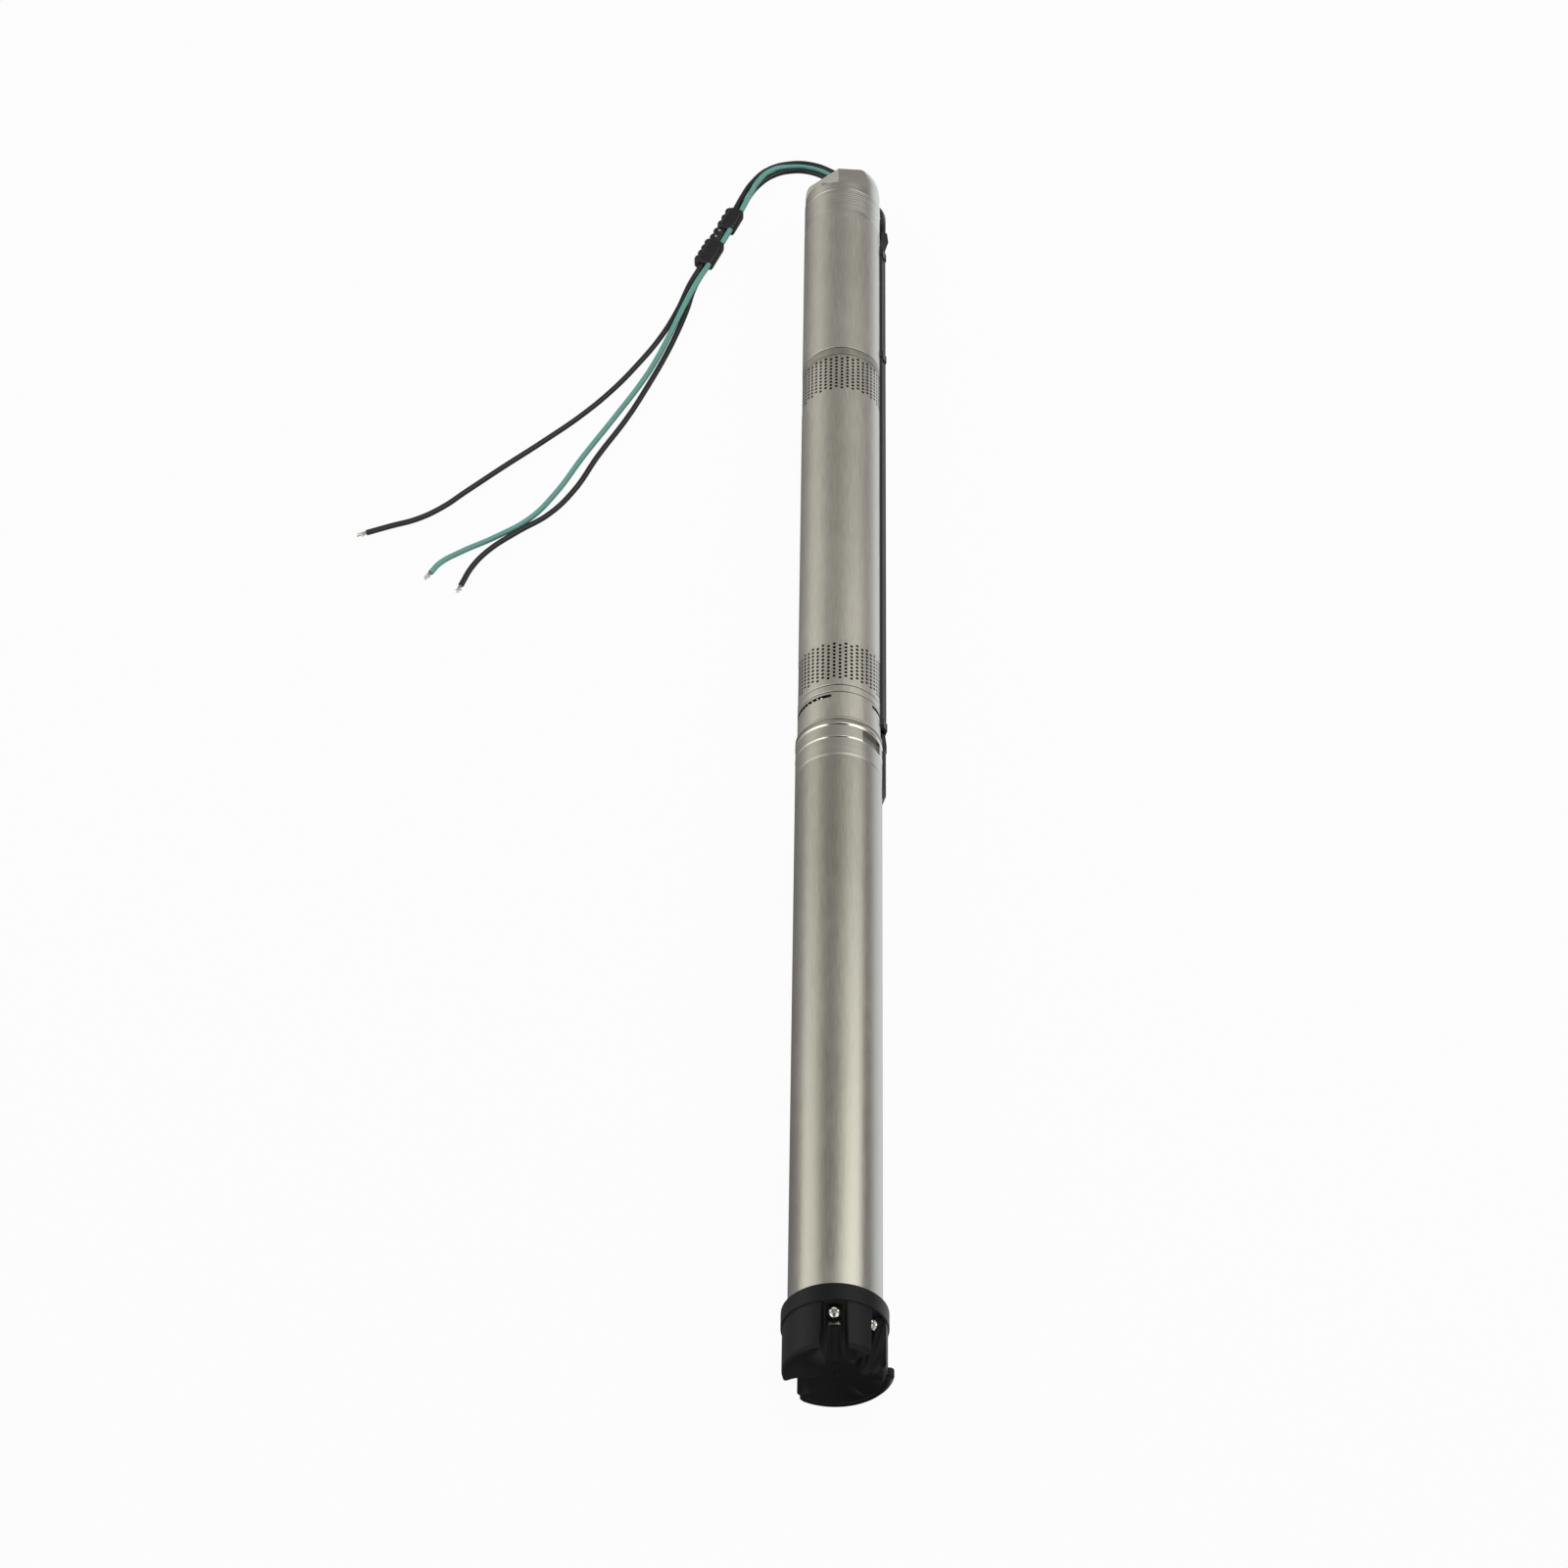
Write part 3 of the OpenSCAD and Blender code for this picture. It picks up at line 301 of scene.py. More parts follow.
def block(angle, reach, width, depth, low, top):
    """A block that stands along a spoke of the pump's axis."""
    turn, out = math.radians(angle), mm(reach + depth / 2)
    bpy.ops.mesh.primitive_cube_add(
        size=1, rotation=(0, turn, 0), scale=(mm(width), mm(top - low), mm(depth)),
        location=(AXIS_X + out * math.sin(turn), (station(low) + station(top)) / 2,
                  AXIS_Z + out * math.cos(turn)))
    return bpy.context.object


def combine(piece, tool, operation):
    """A boolean of the piece with a tool, which is used up."""
    make_active(piece)
    bpy.ops.object.modifier_add(type="BOOLEAN")
    step = piece.modifiers[-1]
    step.operation = operation
    step.solver = "EXACT"
    step.object = tool
    bpy.ops.object.modifier_apply(modifier=step.name)
    bpy.data.objects.remove(tool, do_unlink=True)


# %% [markdown]
# The outlet head keeps the sleeve's full diameter, with fine lathe rings and a groove, and ends in
# a rounded crown. Two pairs of flats are milled on the crown, one deeper than the other.

# %% Outlet head
CROWN_LEN, CROWN_R, CROWN_IN, CROWN_TURN = 14, 31.2, 3.4, 10
CROWN_LOW = PUMP_LENGTH - CROWN_LEN
RING_R, RING_LOW, RING_PITCH, RING_COUNT, RING_STEPS, RING_DEPTH = 31.6, 1142, 2.6, 9, 8, 0.075
FLAT_WIDTH, FLAT_DEPTH, FLAT_TOP = 64, 20, 1204
FLATS = [(3, 24.5, 1176.5), (183, 24.5, 1176.5), (-41, 21.2, 1181), (139, 21.2, 1181)]

head_profile = [
    (17, 1150), (22, 1150), (22, 1100), (26.6, 1100), (26.6, 1085), (30.65, 1085),
    (30.65, 1124.5), (28.35, 1124.5), (28.35, 1127.5), (30.65, 1127.5), (30.65, 1138.5),
    (RING_R, 1138.6)]
for i in range(RING_COUNT * RING_STEPS + 1):
    swell = RING_DEPTH * (math.cos(2 * math.pi * i / RING_STEPS) - 1)
    head_profile.append((RING_R + swell, RING_LOW + RING_PITCH * i / RING_STEPS))
head_profile += [
    (RING_R, 1166.6), (31.3, 1166.9), (31.3, 1167.4), (RING_R, 1167.7), (RING_R, 1174.6),
    (CROWN_R, 1175.2), (CROWN_R, CROWN_LOW)]
for slope in range(CROWN_TURN, 91, CROWN_TURN):
    turn = math.radians(slope)
    head_profile.append((CROWN_R - CROWN_IN * (1 - math.cos(turn)),
                         CROWN_LOW + CROWN_LEN * math.sin(turn)))
head_profile += [(20.7, PUMP_LENGTH), (19.475, 1198.8), (19.475, 1176.8), (17, 1175.6)]
outlet_head = turned_piece("turned_outlet_head", head_profile)
for angle, reach, low in FLATS:
    combine(outlet_head, block(angle, reach, FLAT_WIDTH, FLAT_DEPTH, low, FLAT_TOP), "DIFFERENCE")
print("outlet head has", len(outlet_head.data.polygons), "faces")

# %% [markdown]
# The motor head has two polished beads, each a short slope that faces the motor end and catches the
# light, and a milled pocket between them. Under the cable guard it has the seat of the plug.

# %% Motor head
MOTOR_HEAD_PROFILE = [
    (9, 527), (13, 527), (13, 505), (31.7, 505), (31.7, 534), (32.4, 534.1), (32.9, 535.2),
    (33, 536), (33, 551.5), (32.5, 551.8), (33.05, 552.8), (33.2, 553.4), (33, 554), (33, 563.9),
    (32.4, 564.3), (33.15, 565.6), (33.3, 566.4), (33, 567.2), (32.4, 570.4), (30.65, 570.4),
    (30.65, 588), (16, 588), (16, 568.5), (9, 568.5)]
POCKET = {"angle": 50.5, "reach": 29.6, "width": 20.6, "depth": 12, "low": 552.2, "top": 563.2}
PLUG_SEAT = {"angle": 104, "reach": 30, "width": 16, "depth": 12, "low": 540.5, "top": 568.6}

motor_head = turned_piece("turned_motor_head", MOTOR_HEAD_PROFILE)
combine(motor_head, block(**POCKET), "DIFFERENCE")
combine(motor_head, block(**PLUG_SEAT), "DIFFERENCE")
print("motor head has", len(motor_head.data.polygons), "faces")

# %% [markdown]
# One of the cap's lobes is twice as wide as the others. It is cut from a turned blank with the
# curve of the lobes, so that it fills the space between its neighbours.

# %% Wide lobe of the end cap
LOBE_PROFILE = [(6, 0.3), (33.3, 0.3), (34.8, 0.8), (35.9, 1.9), (36.3, 3.3), (36.3, 36.9),
                (6, 36.9)]
LOBE_SHARE = {"angle": 118, "reach": 12, "width": 21.4, "depth": 30, "low": -2, "top": 40}

wide_lobe = turned_piece("wide_cap_lobe", LOBE_PROFILE)
combine(wide_lobe, block(**LOBE_SHARE), "INTERSECT")
print("wide lobe has", len(wide_lobe.data.polygons), "faces")

for piece in (outlet_head, motor_head, wide_lobe):
    shade_by_angle(piece, TURNED_ANGLE)
stand_for(outlet_head, "discharge_head")
stand_for(motor_head, "motor_head")
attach(wide_lobe, "pump")
skins["wide_lobe"] = wide_lobe

# %% [markdown]
# ## The cable clip
# The clip has two ribbed halves with a row of knuckles on their outer side, and a narrow neck
# between them that leaves the green lead open to view. It is built along its own line, from the
# near end of the straight run of the leads to the far end, and all its sizes are in millimetres.

# %% Places along the clip
CLIP_NEAR, CLIP_FAR = Vector((-0.118, 0.539, 0)), Vector((-0.090, 0.610, 0))
SOFT_STEPS = 3
clip_along = (CLIP_FAR - CLIP_NEAR).normalized()
clip_side = Vector((-clip_along.y, clip_along.x, 0))
clip_turn = math.atan2(clip_along.y, clip_along.x)
clip_parts = []


def clip_place(along, side, height):
    """A point given in millimetres along the clip, to its outer side and above the floor."""
    return (CLIP_NEAR + clip_along * along / MM_PER_M + clip_side * side / MM_PER_M
            + Vector((0, 0, mm(height))))


def soften(thing, width):
    """Round the edges of a part of the clip and keep it for the join."""
    make_active(thing)
    bpy.ops.object.modifier_add(type="BEVEL")
    step = thing.modifiers[-1]
    step.width = mm(width)
    step.segments = SOFT_STEPS
    bpy.ops.object.modifier_apply(modifier=step.name)
    bpy.ops.object.transform_apply(location=True, rotation=True, scale=True)
    clip_parts.append(thing)


def clip_block(near, far, inner, outer, low, top, softness):
    """A block between two places along the clip, two sides and two heights."""
    bpy.ops.mesh.primitive_cube_add(
        size=mm(1), rotation=(0, 0, clip_turn), scale=(far - near, outer - inner, top - low),
        location=clip_place((near + far) / 2, (inner + outer) / 2, (low + top) / 2))
    bpy.ops.object.transform_apply(location=False, rotation=False, scale=True)
    soften(bpy.context.object, softness)


def knuckle(along, side, middle_height, radius, height, softness):
    """An upright round knuckle."""
    bpy.ops.mesh.primitive_cylinder_add(vertices=32, radius=mm(radius), depth=mm(height),
                                        location=clip_place(along, side, middle_height))
    soften(bpy.context.object, softness)


def join(parts):
    """One object of several parts."""
    deselect_all()
    for part in parts:
        part.select_set(True)
    bpy.context.view_layer.objects.active = parts[0]
    bpy.ops.object.join()
    return bpy.context.object


# %% [markdown]
# Each half is a soft block with upright knuckles along its outer side and fine ribs across its
# top. The neck is lower and carries two knuckles of its own.

# %% Two ribbed halves, their knuckles and the neck
HALVES = [(2, 31, 8.4, 4), (49, 74, 7.2, 3)]  # near end, far end, outer side, knuckles
HALF_INNER, CLIP_LOW, HALF_TOP, HALF_SOFT = -6.4, 0.3, 10.5, 2.6
KNUCKLE_IN, KNUCKLE_MIDDLE, KNUCKLE_R, KNUCKLE_HIGH, KNUCKLE_SOFT = 2.5, 5.0, 4.7, 9.2, 1.6
RIBS, RIB_HALF, RIB_INNER, RIB_IN, RIB_LOW, RIB_TOP, RIB_SOFT = 7, 0.8, -4.0, 2.6, 9, 10.8, 0.3
NECK_KNUCKLES = (36.5, 44.5)
CLIP_ANGLE = 40

for near, far, outer, knuckles in HALVES:
    clip_block(near, far, HALF_INNER, outer, CLIP_LOW, HALF_TOP, HALF_SOFT)
    for i in range(knuckles):
        along = near + (far - near) * (i + 0.5) / knuckles
        knuckle(along, outer - KNUCKLE_IN, KNUCKLE_MIDDLE, KNUCKLE_R, KNUCKLE_HIGH, KNUCKLE_SOFT)
    for i in range(RIBS):
        along = near + (far - near) * (i + 0.5) / RIBS
        clip_block(along - RIB_HALF, along + RIB_HALF, RIB_INNER, outer - RIB_IN, RIB_LOW, RIB_TOP,
                   RIB_SOFT)
clip_block(near=29, far=51, inner=-0.4, outer=5.6, low=CLIP_LOW, top=7.6, softness=1.4)
for along in NECK_KNUCKLES:
    knuckle(along, side=5.2, middle_height=4.3, radius=4.4, height=7.8, softness=1.4)
cable_clip = join(clip_parts)
cable_clip.name = "ribbed_cable_clip"
shade_by_angle(cable_clip, CLIP_ANGLE)
stand_for(cable_clip, "cable_clip")
print("clip has", len(cable_clip.data.polygons), "faces")

# %% [markdown]
# A small pale sphere sits on top of each of the neck's knuckles, a painted highlight for a glint
# there.

# %% Two pale spheres on the neck, painted highlights
GLINT_SIDE, GLINT_HEIGHT, GLINT_R = 4.2, 8.2, 1.2

glint_spheres = []
for along in NECK_KNUCKLES:
    bpy.ops.mesh.primitive_uv_sphere_add(segments=24, ring_count=12, radius=mm(GLINT_R),
                                         location=clip_place(along, GLINT_SIDE, GLINT_HEIGHT))
    bpy.ops.object.transform_apply(location=True, rotation=False, scale=False)
    bpy.ops.object.shade_smooth()
    glint_spheres.append(bpy.context.object)
clip_glints = join(glint_spheres)
clip_glints.name = "clip_glints"
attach(clip_glints, "pump")
skins["clip_glints"] = clip_glints
print("studs have", len(clip_glints.data.polygons), "faces")

# %% [markdown]
# Each lead ends in a few bare strands. They leave the jacket together and spread a little, with
# uneven lengths and slightly bent ends.

# %% Bare strands
STRAND_DIAMETER, STRAND_LENGTH, STRANDS, STRAND_ROUNDNESS = 0.0006, 0.0085, 7, 2
STRAND_ROOT = 0.002
ROOT_SPREAD, MIDDLE_SPREAD, TIP_SPREAD, TIP_BEND = 0.0010, 0.0012, 0.0014, 0.0012
SHORTEST, LONGER = 0.75, 0.25

strand_curve = round_curve("bare_strands", STRAND_DIAMETER, STRAND_ROUNDNESS)
for route in routes.values():
    last, before = middle(route[-1]), middle(route[-2])
    ahead = (last - before).normalized()
    aside = Vector((-ahead.y, ahead.x, 0))
    for i in range(STRANDS):
        turn = 2 * math.pi * i / STRANDS
        out = aside * math.cos(turn) + Vector((0, 0, math.sin(turn)))
        reach = STRAND_LENGTH * (SHORTEST + LONGER * math.cos(3 * turn))
        bend = aside * TIP_BEND * math.sin(5 * turn)
        add_spline(strand_curve, [last - ahead * STRAND_ROOT + out * ROOT_SPREAD,
                                  last + ahead * reach * 0.5 + out * MIDDLE_SPREAD,
                                  last + ahead * reach + out * TIP_SPREAD + bend])
strands = new_object("bare_strands", strand_curve)
stand_for(strands, "lead_ends")
print("strands", len(strand_curve.splines))

# %% [markdown]
# The leads are flexible. Each lead's length is worked out once more here, and not kept.

for node, lead in leads.items():
    round(lead_length(lead), 3)

# %% [markdown]
# ## True directions on turned faces
# Smooth shading mixes the directions of all the faces at a corner. On a tube that is pierced by
# hundreds of holes the triangles are long thin slivers, and that mix leaves star-shaped marks. The
# true direction is known here, though: straight out from the pump's axis. So each corner of a
# turned face gets its direction from its own place, and only its lean along the pump from the face.

# %% True normals on the turned faces
TURNED_REACH = math.cos(math.radians(14))
WIDE_FACE = math.cos(math.radians(8))
END_FACE, ON_AXIS = 0.05, 0.001


def turned_normals(thing):
    """Corner normals that point straight from the pump's axis wherever a face is part of a turning.
    A face that spans a wide angle is a milled flat and stays flat."""
    mesh = thing.data
    wanted = [(0.0, 0.0, 0.0)] * len(mesh.loops)
    turned = 0
    for face in mesh.polygons:
        lean = face.normal.y
        flat = Vector((face.normal.x, 0, face.normal.z))
        out = spoke(face.center)
        if flat.length < END_FACE or out.length < ON_AXIS:
            continue
        out.normalize()
        facing = flat.normalized().dot(out)
        if abs(facing) < TURNED_REACH:
            continue
        corners = [spoke(mesh.vertices[i].co).normalized() for i in face.vertices]
        if min(corner.dot(out) for corner in corners) < WIDE_FACE:
            continue
        turned += 1
        side = math.copysign(math.sqrt(1 - lean * lean), facing)
        for loop, corner in zip(face.loop_indices, corners):
            wanted[loop] = (corner.x * side, lean, corner.z * side)
    mesh.normals_split_custom_set(wanted)
    return turned


for node in ["motor_tube", "motor_head", "pump_sleeve", "discharge_head", "end_cap"]:
    print(node, "has", turned_normals(skins[node]), "turned faces")

# %% [markdown]
# ## Finishes
# Colours are written as they look on screen, from 0 to 255, and turned into the linear values
# that shaders work with.

# %% Colour helper
def screen_colour(red, green, blue):
    """Linear colour of a screen colour given from 0 to 255."""
    def linear(v):
        v /= 255
        return v / 12.92 if v <= 0.04045 else ((v + 0.055) / 1.055) ** 2.4
    return (linear(red), linear(green), linear(blue), 1.0)


print("mid steel", [round(v, 3) for v in screen_colour(150, 147, 138)])

# %% [markdown]
# Two effects are shared by all finishes, so each is a node group. The first is grain: noise that
# is stretched along one direction, as brushing, turning or moulding leaves it.

# %% Node group: stretched grain
def new_group(name, inputs, outputs):
    group = bpy.data.node_groups.new(name, "ShaderNodeTree")
    for label, kind, value in inputs:
        socket = group.interface.new_socket(label, in_out="INPUT", socket_type=kind)
        if value is not None:
            socket.default_value = value
    for label, kind in outputs:
        group.interface.new_socket(label, in_out="OUTPUT", socket_type=kind)
    return group, group.nodes.new("NodeGroupInput"), group.nodes.new("NodeGroupOutput")


def widened(tree, value, low, high):
    """The span of a value from low to high, widened to 0 to 1."""
    span = tree.nodes.new("ShaderNodeMapRange")
    span.inputs["From Min"].default_value = low
    span.inputs["From Max"].default_value = high
    tree.links.new(value, span.inputs["Value"])
    return span.outputs["Result"]


grain, grain_in, grain_out = new_group(
    "stretched grain",
    [("Vector", "NodeSocketVector", None), ("Stretch", "NodeSocketVector", (1, 1, 1))],
    [("Tone", "NodeSocketFloat"), ("Height", "NodeSocketFloat")])
stretch = grain.nodes.new("ShaderNodeVectorMath")
stretch.operation = "MULTIPLY"
noise = grain.nodes.new("ShaderNodeTexNoise")
noise.inputs["Scale"].default_value = 1.0
noise.inputs["Detail"].default_value = 3.0
noise.inputs["Roughness"].default_value = 0.6
grain.links.new(grain_in.outputs["Vector"], stretch.inputs[0])
grain.links.new(grain_in.outputs["Stretch"], stretch.inputs[1])
grain.links.new(stretch.outputs["Vector"], noise.inputs["Vector"])
grain.links.new(widened(grain, noise.outputs["Fac"], 0.3, 0.7), grain_out.inputs["Tone"])
grain.links.new(noise.outputs["Fac"], grain_out.inputs["Height"])

# %% [markdown]
# The second is handling: large, soft, cloudy marks where a surface was wiped or touched.

# %% Node group: handling marks
marks, marks_in, marks_out = new_group(
    "handling marks",
    [("Vector", "NodeSocketVector", None), ("Size", "NodeSocketFloat", 12.0)],
    [("Cloud", "NodeSocketFloat")])
cloud = marks.nodes.new("ShaderNodeTexNoise")
cloud.inputs["Detail"].default_value = 4.0
cloud.inputs["Roughness"].default_value = 0.65
cloud.inputs["Distortion"].default_value = 0.6
marks.links.new(marks_in.outputs["Vector"], cloud.inputs["Vector"])
marks.links.new(marks_in.outputs["Size"], cloud.inputs["Scale"])
marks.links.new(widened(marks, cloud.outputs["Fac"], 0.35, 0.75), marks_out.inputs["Cloud"])

# %% [markdown]
# A finish is a Principled shader with a tone that varies between two colours, a roughness that
# varies between two values and a fine bump. Metals and plastics differ only in those values.

# %% Finish builder
BUMP_DISTANCE = 0.0005


def group_node(nodes, group, label, value):
    """A node of a shared group with one of its inputs set."""
    node = nodes.new("ShaderNodeGroup")
    node.node_tree = group
    node.inputs[label].default_value = value
    return node


def finish(name, dark, light, rough, stretch, bump=0.05, metallic=0.0, specular=0.5,
           cloud_size=12.0, cloud_share=0.4):
    """A material from two screen colours, two roughnesses and the grain's fineness by axis."""
    material = bpy.data.materials.new(name)
    material.use_nodes = True
    nodes, links = material.node_tree.nodes, material.node_tree.links
    shader = nodes["Principled BSDF"]
    shader.inputs["Metallic"].default_value = metallic
    shader.inputs["Specular IOR Level"].default_value = specular
    place = nodes.new("ShaderNodeTexCoord")
    grain_node = group_node(nodes, grain, "Stretch", stretch)
    marks_node = group_node(nodes, marks, "Size", cloud_size)
    links.new(place.outputs["Object"], grain_node.inputs["Vector"])
    links.new(place.outputs["Object"], marks_node.inputs["Vector"])
    tone = nodes.new("ShaderNodeMix")
    tone.data_type = "FLOAT"
    tone.inputs["Factor"].default_value = cloud_share
    links.new(grain_node.outputs["Tone"], tone.inputs[2])
    links.new(marks_node.outputs["Cloud"], tone.inputs[3])
    colour = nodes.new("ShaderNodeMix")
    colour.data_type = "RGBA"
    colour.inputs[6].default_value = screen_colour(*dark)
    colour.inputs[7].default_value = screen_colour(*light)
    links.new(tone.outputs[0], colour.inputs["Factor"])
    links.new(colour.outputs[2], shader.inputs["Base Color"])
    roughness = nodes.new("ShaderNodeMapRange")
    roughness.inputs["To Min"].default_value = rough[0]
    roughness.inputs["To Max"].default_value = rough[1]
    links.new(tone.outputs[0], roughness.inputs["Value"])
    links.new(roughness.outputs["Result"], shader.inputs["Roughness"])
    height = nodes.new("ShaderNodeBump")
    height.inputs["Strength"].default_value = bump
    height.inputs["Distance"].default_value = BUMP_DISTANCE
    links.new(grain_node.outputs["Height"], height.inputs["Height"])
    links.new(height.outputs["Normal"], shader.inputs["Normal"])
    return material


def metal(name, dark, light, rough, stretch, **rest):
    return finish(name, dark, light, rough, stretch, metallic=1.0, **rest)


# %% [markdown]
# The steel tubes are ground along their length and wiped, so their grain runs with the pump, fine
# across and long along. The head pieces are turned, so theirs runs round the pump in rings. The
# rolled rings above the upper strainer band are painted darker and cloudy, as shade in their
# grooves, and the beads are polished.

# %% Metal finishes
tube_steel = metal("brushed tube steel", (166, 164, 154), (188, 186, 177), (0.30, 0.40),
                   (900, 60, 900), bump=0.10, cloud_share=0.35)
sleeve_steel = metal("drawn sleeve steel", (186, 183, 173), (208, 205, 196), (0.36, 0.46),
                     (900, 60, 900), bump=0.10, cloud_share=0.35)
turned_steel = metal("turned steel", (186, 184, 175), (208, 206, 198), (0.28, 0.38),
                     (40, 1100, 40), bump=0.04, cloud_share=0.25)
ground_steel = metal("ground head steel", (176, 174, 165), (196, 194, 186), (0.32, 0.42),
                     (40, 900, 40), bump=0.012, cloud_share=0.3)
# Partly painted shade: the milled pocket is rougher, and its colour is darker for the shade in the
# recess.
pocket_steel = metal("milled pocket steel with painted shade", (150, 148, 140), (176, 173, 164), (0.45, 0.55),
                     (700, 700, 60), bump=0.03)
# Painted shade: a darker, cloudy tone for the shade in the rolled grooves.
rolled_steel = metal("rolled steel with painted groove shade", (146, 143, 134), (192, 189, 180), (0.42, 0.55),
                     (60, 300, 60), bump=0.06, cloud_size=45.0, cloud_share=0.9)
bead_polish = metal("polished bead steel", (214, 212, 204), (228, 226, 220), (0.05, 0.10),
                    (300, 300, 300), bump=0.02)
bright_steel = metal("bright screw steel", (190, 189, 184), (215, 214, 208), (0.16, 0.24),
                     (600, 600, 600), bump=0.04)
inner_steel = metal("machined inner steel", (120, 120, 116), (140, 140, 135), (0.3, 0.4),
                    (60, 900, 60), bump=0.1)
tinned_copper = metal("tinned strands", (170, 160, 150), (205, 196, 188), (0.25, 0.35),
                      (900, 900, 900))
winding_copper = metal("winding copper", (170, 100, 62), (200, 128, 84), (0.3, 0.4),
                       (40, 1500, 40), bump=0.4)

# %% [markdown]
# The cap is moulded with a fine spark texture and looks almost black. Cable jackets are smoother
# and pick up a broad soft sheen.

# %% Plastic and rubber finishes
cap_plastic = finish("moulded cap plastic", (10, 11, 13), (18, 19, 22), (0.42, 0.55),
                     (1500, 1500, 1500), bump=0.1, specular=0.22)
clip_plastic = finish("clip plastic", (13, 14, 16), (22, 23, 26), (0.42, 0.52),
                      (1200, 1200, 1200), bump=0.08)
guard_plastic = finish("extruded guard plastic", (13, 13, 14), (22, 22, 23), (0.4, 0.5),
                       (900, 40, 900), bump=0.06)
# Painted highlight: the pale spheres on the clip's neck stand for two glints.
glint_white = finish("painted glint white", (176, 174, 168), (200, 198, 192), (0.3, 0.4),
                    (500, 500, 500), bump=0.02)
cable_rubber = finish("cable rubber", (24, 25, 28), (34, 35, 38), (0.4, 0.5), (900, 900, 900))
soft_rubber = finish("inner rubber", (20, 20, 21), (30, 30, 31), (0.55, 0.7),
                     (800, 800, 800), bump=0.08)
black_jacket = finish("black lead jacket", (18, 20, 23), (28, 30, 34), (0.35, 0.45),
                      (500, 500, 500), bump=0.03)
green_jacket = finish("green lead jacket", (104, 178, 166), (128, 194, 182), (0.35, 0.45),
                      (500, 500, 500), bump=0.03)
# Painted shade: inside the pump and in its holes the steel is coloured near black, for the shade
# there.
shade_black_steel = finish("inner steel painted as shade", (8, 8, 9), (16, 16, 17), (0.7, 0.9),
                   (300, 300, 300), bump=0.02)
board_green = finish("board green", (24, 70, 44), (34, 90, 58), (0.35, 0.5), (300, 300, 300))

# %% [markdown]
# Every piece gets one finish, the inner ones as well, so that a look inside the pump is right too.
# A CAD node has the same finish as the piece that stands for it.

# %% Give every piece its finish
piece_finish = {
    "motor_tube": tube_steel, "pump_sleeve": sleeve_steel, "motor_head": ground_steel,
    "discharge_head": turned_steel, "end_cap": cap_plastic, "filler_plug": cap_plastic,
    "cap_screws": bright_steel, "cable_guard": guard_plastic, "guard_clips": guard_plastic,
    "cable_boot": cable_rubber, "motor_plug": cable_rubber, "flat_cable": cable_rubber,
    "cable_clip": clip_plastic, "clip_glints": glint_white, "wide_lobe": cap_plastic,
    "lead_ends": tinned_copper,
}
# The stator tube and the support ring, seen through the strainer holes, take the painted shade.
node_finish = {
    "motor_end_plate": inner_steel, "diaphragm": soft_rubber, "electronics_can": inner_steel,
    "control_board": board_green, "thrust_ring": soft_rubber, "thrust_disc": bright_steel,
    "lower_housing": inner_steel, "lower_bearing": soft_rubber, "stator_core": inner_steel,
    "end_windings": winding_copper, "rotor_magnets": inner_steel, "motor_shaft": bright_steel,
    "upper_bearing": soft_rubber, "shaft_seal": soft_rubber, "sand_shield": soft_rubber,
    "shaft_coupling": inner_steel, "torsion_rod": bright_steel, "helical_rotor": bright_steel,
    "stator_liner": soft_rubber, "stator_tube": shade_black_steel, "support_ring": shade_black_steel,
    "head_o_ring": soft_rubber, "valve_seat": soft_rubber, "valve_cup": cable_rubber,
    "valve_spring": bright_steel, "valve_guide": inner_steel,
}
lead_finish = {"lead_black_a": black_jacket, "lead_green": green_jacket,
               "lead_black_b": black_jacket}


def paint(thing, material):
    thing.data.materials.clear()
    thing.data.materials.append(material)


for pieces, finishes in [(skins, piece_finish), (leads, lead_finish)]:
    for node, material in finishes.items():
        paint(pieces[node], material)
        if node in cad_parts:
            paint(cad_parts[node], material)
for node, material in node_finish.items():
    paint(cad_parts[node], material)
print("painted", len(piece_finish) + len(node_finish) + len(lead_finish), "pieces")

# %% [markdown]
# Some faces of a piece have a finish of their own. Holes and slots read dark because hardly any
# light comes back out of the pump, so their walls, the sleeve's inner side and the part of the
# motor head inside the sleeve are painted near black as shade. They are picked by their distance
# from the axis or by their station, as the rolled rings, the beads and the pocket are.

# %% A second finish on chosen faces
SLEEVE_SKIN_LIMIT, BEAD_LIMIT, POCKET_LIMIT = 0.03145, 0.0325, 0.0324
ROLLS_LOW, ROLLS_TOP = 962.5, 974
BEAD_SLOPES = [(551.8, 553.0), (564.3, 565.8)]
SPIGOT_LOW = 570.3
POCKET_SLACK, POCKET_SPREAD = 0.1, 20


def between(face, low, top):
    return station(low) < face.center.y < station(top)


def in_bore(face, away):
    return away < SLEEVE_SKIN_LIMIT


def on_rolls(face, away):
    return away > SLEEVE_SKIN_LIMIT and between(face, ROLLS_LOW, ROLLS_TOP)


def on_bead(face, away):
    return away > BEAD_LIMIT and any(between(face, low, top) for low, top in BEAD_SLOPES)


def on_spigot(face, away):
    return face.center.y > station(SPIGOT_LOW)


def in_pocket(face, away):
    out = spoke(face.center)
    turn = math.degrees(math.atan2(out.x, out.z))
    return (away < POCKET_LIMIT and abs(turn - POCKET["angle"]) < POCKET_SPREAD
            and between(face, POCKET["low"] - POCKET_SLACK, POCKET["top"] + POCKET_SLACK))


def second_finish(node, material, chosen):
    """Give another material to the faces for which chosen(face, distance from the axis) holds."""
    mesh = skins[node].data
    mesh.materials.append(material)
    picked = [face for face in mesh.polygons if chosen(face, spoke(face.center).length)]
    for face in picked:
        face.material_index = len(mesh.materials) - 1
    print(len(picked), "faces of", node, "have", material.name)


